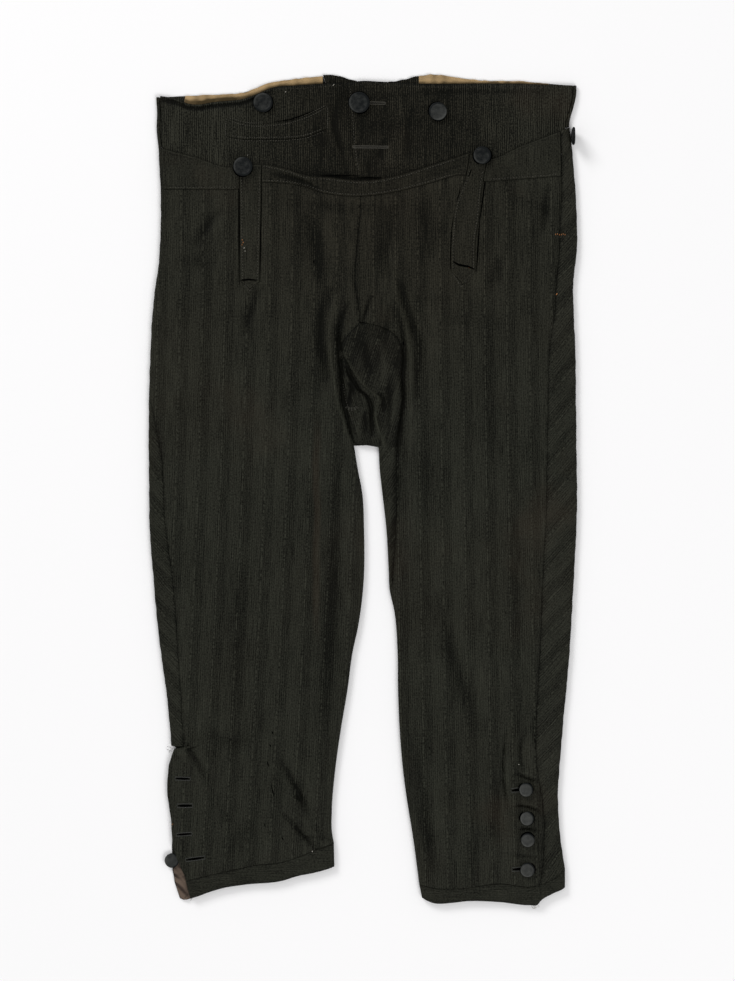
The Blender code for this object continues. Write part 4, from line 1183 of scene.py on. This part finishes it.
# Distance from the centre and height, as shares of the radius and of the thickness.
BUTTON_SIDE = (
    (0.0, 0.74), (0.25, 0.745), (0.5, 0.77), (0.66, 0.83), (0.76, 0.92), (0.83, 0.98), (0.89, 1.0),
    (0.94, 0.97), (0.98, 0.88), (1.0, 0.74), (0.995, 0.6), (0.96, 0.44), (0.88, 0.3), (0.74, 0.18),
    (0.5, 0.08), (0.0, 0.05),
)
RIM_AT = 0.88


def placed(name, mesh):
    """A finished mesh as a piece of the breeches."""
    piece = bpy.data.objects.new(name, mesh)
    bpy.context.scene.collection.objects.link(piece)
    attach(piece, "root")
    return piece


def covered_button(name, x, y, diameter, rests_at, tone, lit_towards, thick=3.4, on_edge=False):
    """One button. The tone is how grey its silk has worn. Its rim is painted lighter towards one direction,
    in degrees, and darker away from it and round its outer edge: painted highlight and painted shade. One
    that stands on edge is turned so that it faces the side."""
    made = bmesh.new()
    corners = [
        made.verts.new((across * diameter / 2 * MM, 0, up * thick * MM)) for across, up in BUTTON_SIDE
    ]
    edges = [made.edges.new(pair) for pair in zip(corners, corners[1:])]
    bmesh.ops.spin(
        made, geom=corners + edges, cent=(0, 0, 0), axis=(0, 0, 1), angle=2 * math.pi, steps=96,
        use_merge=True,
    )
    bmesh.ops.remove_doubles(made, verts=made.verts, dist=0.000002)
    bmesh.ops.recalc_face_normals(made, faces=made.faces)
    lift_layer = made.verts.layers.float.new("lift")
    for vertex in made.verts:
        across = math.hypot(vertex.co.x, vertex.co.y) / (diameter / 2 * MM)
        around = math.atan2(vertex.co.y, vertex.co.x)
        # Painted highlight on the rim on the side given in degrees, painted shade on the far side of the rim
        # and round its outer edge, added to the button's own tone.
        on_rim = math.exp(-(((across - RIM_AT) / 0.09) ** 2))
        facing = 0.5 + 0.5 * math.cos(around - math.radians(lit_towards))
        shaded = 0.5 * (1 - facing) ** 2 * min(max((across - 0.76) / 0.12, 0), 1)
        vertex[lift_layer] = tone + on_rim * 0.30 * facing**3 - shaded - 0.5 * (across > 0.945)
        if vertex.co.z < 0.6 * thick * MM and across > 0.3:
            gather = 1 + 0.012 * math.sin(17 * around + diameter) + 0.008 * math.sin(29 * around)
            vertex.co.x *= gather
            vertex.co.y *= gather
        vertex.co.z += 0.00006 * math.sin(3 * around + diameter) * across
        if on_edge:
            vertex.co = (vertex.co.z, vertex.co.y, vertex.co.x)
        vertex.co.x += x * MM
        vertex.co.y += y * MM
        vertex.co.z += rests_at * MM
    mesh = bpy.data.meshes.new(name)
    made.to_mesh(mesh)
    made.free()
    mesh.materials.append(button_silk)
    mesh.shade_smooth()
    piece = placed(name + "_covered", mesh)
    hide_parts(name)


ON_WAISTBAND = WAIST_HEIGHT + 0.3
ON_FALL = LEG_HEIGHT + 1.1
ON_KNEE = LEG_HEIGHT + 0.35
UNDER_FLAP = 1.5
BUTTON_CENTRES = {
    "waist_button_right": (-89.8, 347.9),
    "waist_button_centre": (-3.5, 347.9),
    "waist_button_left": (67.3, 340.0),
    "fall_button_right": (-107.7, 290.3),
    "fall_button_left": (106.9, 300.4),
    "knee_button_left_1": (146.3, -268.9),
    "knee_button_left_2": (147.2, -294.8),
    "knee_button_left_3": (147.9, -314.1),
    "knee_button_left_4": (147.6, -340.9),
    "knee_button_right": (-171.8, -333.0),
    "hip_button": (186.7, 317.7),
}

# Diameter, the height that it rests at, tone, and the side of the rim that is painted lighter, in degrees.
for name, *sizes in (
    ("waist_button_right", 17.5, ON_WAISTBAND, 0.06, 120),
    ("waist_button_centre", 19.0, ON_WAISTBAND, 0.04, 200),
    ("waist_button_left", 16.5, ON_WAISTBAND, 0.20, 310),
    ("fall_button_right", 17.5, ON_FALL, 0.04, 150),
    ("fall_button_left", 16.0, ON_FALL, 0.0, 215),
    ("knee_button_left_1", 12.5, ON_KNEE, 0.34, 230),
    ("knee_button_left_2", 12.5, ON_KNEE, 0.36, 200),
    ("knee_button_left_3", 12.5, ON_KNEE, 0.32, 250),
    ("knee_button_left_4", 13.0, ON_KNEE, 0.32, 235),
    ("knee_button_right", 13.0, UNDER_FLAP, 0.2, 180, 2.6),
    ("hip_button", 16.0, 8.4, 0.03, 0, 3.4, True),
):
    covered_button(name, *BUTTON_CENTRES[name], *sizes)


# Needlework: edge stitches in silk thread that has faded to grey, buttonholes worked over slits, tan bar
# tacks, a darn, and loose ends of thread, all sewn by hand through the upper layer.

def plain_finish(name, colour, roughness, specular):
    """A material of one even colour."""
    finish = bpy.data.materials.new(name)
    finish.use_nodes = True
    shader = finish.node_tree.nodes["Principled BSDF"]
    shader.inputs["Base Color"].default_value = (*colour, 1)
    shader.inputs["Roughness"].default_value = roughness
    shader.inputs["Specular IOR Level"].default_value = specular
    return finish


thread_black = plain_finish("thread_black", (0.011, 0.011, 0.010), 0.7, 0.1)
thread_grey = plain_finish("thread_grey", (0.074, 0.070, 0.058), 0.7, 0.15)
thread_tan = plain_finish("thread_tan", (0.330, 0.140, 0.050), 0.7, 0.15)
thread_white = plain_finish("thread_white", (0.420, 0.400, 0.350), 0.7, 0.15)
shadow = plain_finish("slit_shadow", (0.0006, 0.0006, 0.0006), 0.7, 0.0)
buttonhole_silk = plain_finish("buttonhole_silk", (0.030, 0.031, 0.027), 0.6, 0.5)

# One stitch is a small lump of few faces, which each row of stitching repeats.
stitch_shape = bmesh.new()
bmesh.ops.create_icosphere(stitch_shape, subdivisions=1, radius=0.5)
stitch_shape.verts.index_update()
STITCH_CORNERS = np.array([vertex.co for vertex in stitch_shape.verts])
STITCH_FACES = np.array([[vertex.index for vertex in face.verts] for face in stitch_shape.faces])
stitch_shape.free()
STITCH_LIES_AT = 0.12


def detail(name, points, faces, finish):
    """A small mesh that lies on the cloth: points in millimetres."""
    mesh = bpy.data.meshes.new(name)
    mesh.from_pydata((np.asarray(points) * MM).tolist(), [], np.asarray(faces).tolist())
    mesh.materials.append(finish)
    mesh.shade_smooth()
    placed(name, mesh)


def stitched(name, stitches, finish, surface):
    """Many stitches as one mesh. Each has X, Y, direction, length and width, and the surface gives its
    height."""
    x, y, way, length, width = np.array(stitches, float).T
    local = STITCH_CORNERS[None] * np.stack([length, width, 0.8 * width], axis=-1)[:, None]
    cosine, sine = np.cos(way)[:, None], np.sin(way)[:, None]
    px = x[:, None] + local[..., 0] * cosine - local[..., 1] * sine
    py = y[:, None] + local[..., 0] * sine + local[..., 1] * cosine
    pz = surface(px, py) + STITCH_LIES_AT + local[..., 2]
    points = np.stack([px, py, pz], axis=-1).reshape(-1, 3)
    faces = STITCH_FACES[None] + len(STITCH_CORNERS) * np.arange(len(x))[:, None, None]
    detail(name, points, faces.reshape(-1, 3), finish)


def run(stations, pitch=2.5, length=1.5, width=0.46, wander=0.14):
    """A row of stitches along a path of X and Y."""
    path = np.array(stations, float)
    steps = np.hypot(*np.diff(path, axis=0).T)
    reach = np.concatenate([[0], np.cumsum(steps)])
    at = np.arange(pitch / 2, reach[-1], pitch)
    at = at + 0.18 * pitch * np.sin(at * 2.7)
    x, y = np.interp(at, reach, path[:, 0]), np.interp(at, reach, path[:, 1])
    way = np.arctan2(np.gradient(y), np.gradient(x)) if len(at) > 1 else np.zeros(len(at))
    x = x + wander * np.sin(at * 1.9) * np.sin(way)
    y = y + wander * np.sin(at * 1.9 + 1) * np.cos(way)
    sizes = length * (1 + 0.25 * np.sin(at * 3.3))
    return [(*row, width) for row in zip(x, y, way + 0.08 * np.sin(at * 5), sizes)]


def graph_of(curve, start, stop, shift=0.0, upright=False):
    """Points on a curve from start to stop, as X and Y; upright if the curve gives X from Y."""
    places = np.linspace(start, stop, max(3, round(abs(stop - start) / 2)))
    values = curve(places) + shift
    return list(zip(values, places)) if upright else list(zip(places, values))


def on_strip(x, y):
    return LEG_HEIGHT + upper_lift(x, y) + STRIP_BACK + STRIP_EDGE + STRIP_RISE


def on_leg(x, y):
    return LEG_HEIGHT + upper_lift(x, y)


def on_waist(x, y):
    return WAIST_HEIGHT + waist_lift(x, y)


edge_runs = (
    run(graph_of(fall_band_low, -90, 78, 1.9))
    + run(graph_of(front_top, -90, 82, -2.2))
    + run(graph_of(placket_right, 189, 278, 1.8, True))
    + run(graph_of(placket_right_inner, 189, 282, -1.8, True))
    + run(graph_of(placket_left, 199, 288, 1.8, True))
    + run(graph_of(placket_left_outer, 199, 286, -1.8, True))
    + run(graph_of(side_band_right_low, -174, -113, 1.9))
    + run(graph_of(side_band_left_low, 114, 174, 1.9))
)
stitched("edge_stitches", edge_runs, thread_grey, lambda x, y: on_strip(x, y) - 0.14)
leg_runs = (
    run([(-110, 188), (-101.7, 179.2), (-93, 188)], 1.6, 1.2)
    + run([(79, 197), (88, 182.6), (100.6, 196)], 1.6, 1.2)
    + run(graph_of(placket_right_inner, 192, 262, 4.5, True), 3.1, 1.2, 0.3)
)
stitched("leg_stitches", leg_runs, thread_grey, on_leg)
waist_runs = (
    run(graph_of(fob_low, -120, -34, -1.0), 2.4)
    + run(graph_of(fob_top, -120, -90, 1.0), 2.0)
    + run(graph_of(fob_top, -62, -34, 0.8), 2.2)
    + run([(-122.8, 316), (-123.8, 325), (-122.6, 334)], 1.8)
    + run([(-32.2, 325), (-31.6, 335), (-32.4, 345)], 1.8)
    + run(graph_of(fall_lap, 287, 362, 2.6, True), 2.6)
    + run(graph_of(waist_top_left, -10, 185, -3.2), 3.2, 1.1, 0.3)
    + run(graph_of(waist_top_right, -80, -20, -3.0), 3.2, 1.1, 0.3)
)
stitched("waistband_stitches", waist_runs, thread_grey, on_waist)
welt_runs = run(graph_of(fob_low, -118, -38, 1.9), 2.2) + run(graph_of(fob_top, -118, -38, -1.9), 2.2)
stitched("welt_stitches", welt_runs, thread_grey, lambda x, y: on_waist(x, y) + STRIP_RISE)


SLIT_STATIONS = 16


def shadow_sheet(name, path, width, surface, raise_by=0.34):
    """A dark, leaf-shaped sheet laid just over the cloth along a path: painted shade standing for an opening,
    gap or hole, as the cloth is not cut.
    """
    share = np.linspace(0, 1, SLIT_STATIONS)
    half = width / 2 * np.sin(math.pi * np.clip(share, 0.02, 0.98)) ** 0.5
    stations = np.linspace(0, 1, len(path))
    x, y = (np.interp(share, stations, values) for values in zip(*path))
    way = np.arctan2(np.gradient(y), np.gradient(x))
    x = np.stack([x - half * np.sin(way), x, x + half * np.sin(way)])
    y = np.stack([y + half * np.cos(way), y, y - half * np.cos(way)])
    points = np.stack([x, y, surface(x, y) + raise_by], axis=-1).reshape(-1, 3)
    corners = np.arange(x.size).reshape(x.shape)
    sides = [corners[:-1, :-1], corners[1:, :-1], corners[1:, 1:], corners[:-1, 1:]]
    detail(name, points, np.stack(sides, axis=-1).reshape(-1, 4), shadow)


def buttonhole(name, ends, surface, open_width=0.9, finish=thread_grey):
    """A worked buttonhole: close stitches square to a slit, and a bar across each end; the slit itself is a
    dark sheet of painted shade.
    """
    (x0, y0), (x1, y1) = ends
    length = math.hypot(x1 - x0, y1 - y0)
    way = math.atan2(y1 - y0, x1 - x0)

    def at(step, out):
        return (
            x0 + math.cos(way) * step - math.sin(way) * out,
            y0 + math.sin(way) * step + math.cos(way) * out,
        )

    worked = [
        (*at(step, side * (open_width / 2 + 0.55)), way + math.pi / 2, 1.25, 0.42)
        for step in np.arange(-0.4, length + 0.4, 0.45)
        for side in (-1, 1)
    ]
    worked += [
        (*at(end, out), way, 1.2, 0.42) for end in (-0.6, length + 0.6) for out in (-0.7, 0, 0.7)
    ]
    stitched(name, worked, finish, surface)
    shadow_sheet(name + "_slit", ends, open_width, surface)


# The ends of each buttonhole, its surface, how wide it gapes, and its thread.
for place, *hole in (
    ("knee_right_1", ((-168.3, -259), (-155.5, -259.4)), on_leg, 1.7, buttonhole_silk),
    ("knee_right_2", ((-166.3, -283.5), (-153.5, -283.4)), on_leg, 2.1, buttonhole_silk),
    ("knee_right_3", ((-167, -309.6), (-154, -308.6)), on_leg, 1.6, buttonhole_silk),
    ("knee_right_4", ((-158.7, -332.2), (-142.5, -330)), on_leg, 1.8, buttonhole_silk),
    ("knee_left_1", ((133.6, -269.8), (146, -268.6)), on_leg, 2.4, buttonhole_silk),
    ("knee_left_4", ((134.4, -340.8), (146, -340.0)), on_leg, 2.2, buttonhole_silk),
    ("waist_upper", ((2, 348), (19.4, 347.6)), on_waist, 0.7, thread_grey),
    ("waist_lower", ((-8.6, 308.4), (22, 308.2)), on_waist, 0.5, thread_grey),
):
    buttonhole("buttonhole_" + place, *hole)


def flat_waist(x, y):
    return WAIST_HEIGHT + 0 * x


# Painted shade where the slits of the fall, the plackets and the fob pocket gape, laid on as dark sheets:
# path, width and surface.
for slit in (
    ("slit_right_foot", ((-110, 188.2), (-103, 189.0), (-95, 188.4)), 1.5, on_strip),
    ("slit_left_foot", ((80.4, 205.4), (86, 202.2), (94, 200.8), (100.4, 198.2)), 1.8, on_strip),
    ("slit_right", ((-111.3, 184), (-111.5, 284)), 1.3, on_leg, 0.3),
    ("slit_left_lower", ((101.8, 196), (105.0, 245)), 1.2, on_leg, 0.3),
    ("slit_left_upper", ((105.0, 242), (111.4, 291)), 1.2, on_leg, 0.3),
    ("placket_shadow_right", ((-92.4, 187), (-91.0, 276)), 0.8, on_leg, 0.3),
    ("placket_shadow_left_lower", ((78.4, 198), (79.4, 236)), 1.0, on_leg, 0.3),
    ("placket_shadow_left_upper", ((79.2, 234), (87.5, 272)), 1.0, on_leg, 0.3),
    ("fall_gap_right", ((-38, 282.2), (-4, 282.6)), 1.0, flat_waist, 0.4),
    ("fall_gap_left", ((-6, 280.4), (17, 280.6)), 1.1, flat_waist, 0.4),
    ("fob_opening", ((-80, 330.6), (-66, 332.6), (-54, 336.6), (-44, 341)), 1.1, on_waist, 1.0),
    ("placket_gap", ((94.5, 281), (97.5, 288)), 0.9, on_strip),
):
    shadow_sheet(*slit)

# Painted shadows beside the buttons: dark crescents laid on the cloth where the button edges throw shade.
# Each has its button, the radius of its arc, its two directions in degrees, and its width.
for group, surface, gaps in (
    (
        "button_shadow_", on_leg,
        (
            ("knee_button_left_1", 6.5, 70, -60, 1.0), ("knee_button_left_1", 6.6, 120, 200, 1.0),
            ("knee_button_left_2", 6.5, 60, -70, 1.4), ("knee_button_left_2", 6.6, 125, 200, 1.3),
            ("knee_button_left_3", 6.6, 165, 20, 1.4), ("knee_button_left_3", 6.5, -20, -80, 0.9),
            ("knee_button_left_4", 6.8, 60, -30, 1.4), ("knee_button_left_4", 6.7, -60, -120, 0.9),
        ),
    ),
    (
        "waist_button_shadow_", on_waist,
        (
            ("waist_button_right", 9.0, 60, -80, 1.3), ("waist_button_centre", 9.8, 20, 170, 1.5),
            ("waist_button_centre", 9.7, -20, -110, 1.1), ("waist_button_left", 8.6, 200, 80, 1.8),
            ("waist_button_left", 8.4, -20, -120, 0.9),
        ),
    ),
    (
        "fall_button_shadow_", on_strip,
        (
            ("fall_button_right", 9.0, 170, 290, 1.3), ("fall_button_right", 8.9, 0, -60, 0.9),
            ("fall_button_left", 8.3, 60, -60, 1.5), ("fall_button_left", 8.2, 150, 250, 1.2),
        ),
    ),
):
    for number, (button, radius, first, last, width) in enumerate(gaps, 1):
        x, y = BUTTON_CENTRES[button]
        turns = np.radians(np.linspace(first, last, 9))
        path = list(zip(x + radius * np.cos(turns), y + radius * np.sin(turns)))
        shadow_sheet(f"{group}{number}", path, width, surface)

# Small holes worn through the silk, most of them at the right knee, each a dark sheet: the holes are real,
# their darkness is painted shade. X, Y, length and width of each.
for number, (x, y, length, width) in enumerate(
    (
        (-81, -218, 1.7, 1.0), (-83, -229.5, 1.5, 0.9), (-85, -246, 2.6, 1.0), (-81.4, -268, 4.6, 0.7),
        (-80.5, -272.5, 3.2, 0.6), (-88, -301, 1.7, 0.9), (-72, -313, 1.7, 1.0), (-44, 205, 1.2, 0.7),
        (-62, 104, 1.1, 0.6), (60, -232, 1.4, 0.7), (128, -110, 1.2, 0.6), (36.5, 132, 1.8, 1.0),
    ),
    1,
):
    slant = 0.35 + 0.2 * math.sin(number)
    ends = (
        (x - length * math.sin(slant), y + length * math.cos(slant)),
        (x + length * math.sin(slant) * 0.4, y - length * math.cos(slant)),
    )
    shadow_sheet(f"worn_hole_{number}", ends, width, on_leg)

# Tan bar tacks and repair threads on the plackets and the left hip, a darn by the fork, and a few worn light
# specks: X, Y, direction, length and width of each stitch.
strip_tacks = (
    (-108.4, 224.6, 1.4, 1.8, 0.6), (-107.6, 222.2, 1.1, 1.9, 0.6), (-108.6, 220.2, 1.6, 1.6, 0.5),
    (96, 199.6, 0.2, 2.6, 0.55), (99.4, 198.6, -0.3, 2.2, 0.5), (-171.2, -300, 0.4, 2.0, 0.5),
)
hip_tack = [(173 + 1.7 * step, 229.6 + 0.4 * math.sin(2 * step), 1.5, 1.7, 0.6) for step in range(6)]
white_tack = (-106.7, 217.4, 1.2, 1.7, 0.6), (-105.9, 214.6, 0.9, 1.0, 0.5)
leg_specks = (
    (-45.5, -324.5, 1.3, 1.5, 0.7), (140, -246.5, 0.6, 1.2, 0.6), (-173.2, -298, 0.3, 1.8, 0.5),
    (-172, -302, 1.0, 1.4, 0.45),
)
darn = [
    (-10 + (4 + row) * math.cos(turn), 76 + (2.4 + row) * math.sin(turn), turn + 1.57, 1.9, 0.42)
    for row in range(3)
    for turn in np.arange(3.6, 5.9, 0.55)
]
darn += run([(-18, 96), (-16.4, 84), (-13, 73), (-9, 60)], 2.4, 1.2, 0.4)
waist_specks = (-69.6, 357.8, 0.2, 1.6, 0.6), (-103.6, 301, 0.8, 1.0, 0.5), (-26.5, 364, 0.9, 2.6, 0.5)
stitched("tan_tacks", strip_tacks, thread_tan, on_strip)
stitched("hip_tack", hip_tack + [(174, 176, 0.9, 2.4, 1.1)], thread_tan, on_leg)
stitched("white_tack", white_tack, thread_white, on_strip)
stitched("light_specks", leg_specks, thread_white, on_leg)
stitched("darn_by_the_fork", darn, thread_grey, on_leg)
stitched("waistband_specks", waist_specks, thread_white, on_waist)


def loose_ends(name, paths, finish, width=0.28):
    """Loose threads, each a smooth path of X, Y and Z."""
    curve = bpy.data.curves.new(name, "CURVE")
    curve.dimensions = "3D"
    curve.bevel_depth = width / 2 * MM
    curve.bevel_resolution = 1
    for path in paths:
        spline = curve.splines.new("NURBS")
        spline.points.add(len(path) - 1)
        for point, place in zip(spline.points, path):
            point.co = (*(value * MM for value in place), 1)
        spline.order_u = 3
        spline.use_endpoint_u = True
    source = bpy.data.objects.new(name + "_path", curve)
    bpy.context.scene.collection.objects.link(source)
    mesh = bpy.data.meshes.new_from_object(source.evaluated_get(bpy.context.evaluated_depsgraph_get()))
    bpy.data.objects.remove(source)
    mesh.materials.clear()
    mesh.materials.append(finish)
    placed(name, mesh)


loose_ends(
    "frayed_corner",
    [
        [(152, -371, 4.6), (153.4, -374, 4), (155.2, -375.4, 2.6), (156.4, -375, 1.8)],
        [(154, -371, 4.8), (155.4, -374.4, 4), (154.4, -376, 2.4), (152.6, -376.6, 1.2)],
        [(151, -371.6, 4.4), (151.6, -374.6, 3.2), (153.4, -376.4, 1.6), (155.6, -376.8, 0.8)],
        [(156.6, -371, 4.8), (157, -373.4, 3.8), (158.6, -374.2, 2.4), (158.2, -375.6, 1)],
    ],
    thread_white,
)
loose_ends(
    "frayed_notch",
    [
        [(-170, -232, 4.8), (-172.4, -232, 4.2), (-174.6, -230.4, 3), (-176.2, -230.8, 1.8)],
        [(-171, -234.6, 4.8), (-173.4, -234.6, 4), (-175.4, -233, 2.8), (-176.6, -233.8, 1.2)],
        [(-170.4, -233.4, 5), (-172, -233, 4.4), (-174, -234.6, 3), (-174.4, -236, 2)],
        [(-157, -362.6, 4.4), (-158.6, -365.6, 3.4), (-160.6, -366.4, 2.6)],
        [(-153, -365, 4.4), (-153.6, -368, 3), (-155.4, -369, 1.4)],
    ],
    thread_black,
)


# Stage: a white table top, a broad soft light from the waist side with a weaker one from the knee side, and a
# camera straight above with a long lens.

TABLE_HALF = 6
floor_mesh = bpy.data.meshes.new("table_top")
floor_shape = bmesh.new()
bmesh.ops.create_grid(floor_shape, x_segments=1, y_segments=1, size=TABLE_HALF)
floor_shape.to_mesh(floor_mesh)
floor_shape.free()
floor = bpy.data.objects.new("table_top", floor_mesh)
bpy.context.scene.collection.objects.link(floor)
floor_mesh.materials.append(plain_finish("table_white", (0.93, 0.925, 0.93), 0.9, 0.1))

world = bpy.data.worlds.new("studio")
world.use_nodes = True
world.node_tree.nodes["Background"].inputs[0].default_value = (1, 1, 1, 1)
world.node_tree.nodes["Background"].inputs[1].default_value = 0.54
bpy.context.scene.world = world


def soft_light(name, place, aim, size, power):
    """A broad lamp at a place, turned to what it lights."""
    lamp = bpy.data.lights.new(name, "AREA")
    lamp.shape = "RECTANGLE"
    lamp.size, lamp.size_y = size
    lamp.energy = power
    made = bpy.data.objects.new(name, lamp)
    made.location = place
    towards_x, towards_y, towards_z = np.array(aim) - np.array(place)
    made.rotation_euler = (
        math.atan2(math.hypot(towards_x, towards_y), -towards_z),
        0,
        math.atan2(towards_x, -towards_y) + math.pi,
    )
    bpy.context.scene.collection.objects.link(made)


soft_light("waist_side_light", (-3.0, 3.9, 2.76), (0.1, 0, 0), (2.3, 1.6), 166)
soft_light("knee_side_light", (2.4, -3.2, 4.0), (0, 0, 0), (3.4, 2.6), 124)

SENSOR = 24
CAMERA_HEIGHT = 2.6
VIEW_TALL = 0.8829
VIEW_CENTRE = (0.00405, -0.0004)
lens = bpy.data.cameras.new("camera")
lens.sensor_fit = "VERTICAL"
lens.sensor_height = SENSOR
lens.lens = SENSOR * CAMERA_HEIGHT / VIEW_TALL
camera = bpy.data.objects.new("camera", lens)
camera.location = (*VIEW_CENTRE, CAMERA_HEIGHT)
bpy.context.scene.collection.objects.link(camera)
bpy.context.scene.camera = camera
bpy.context.scene.view_settings.view_transform = "Standard"
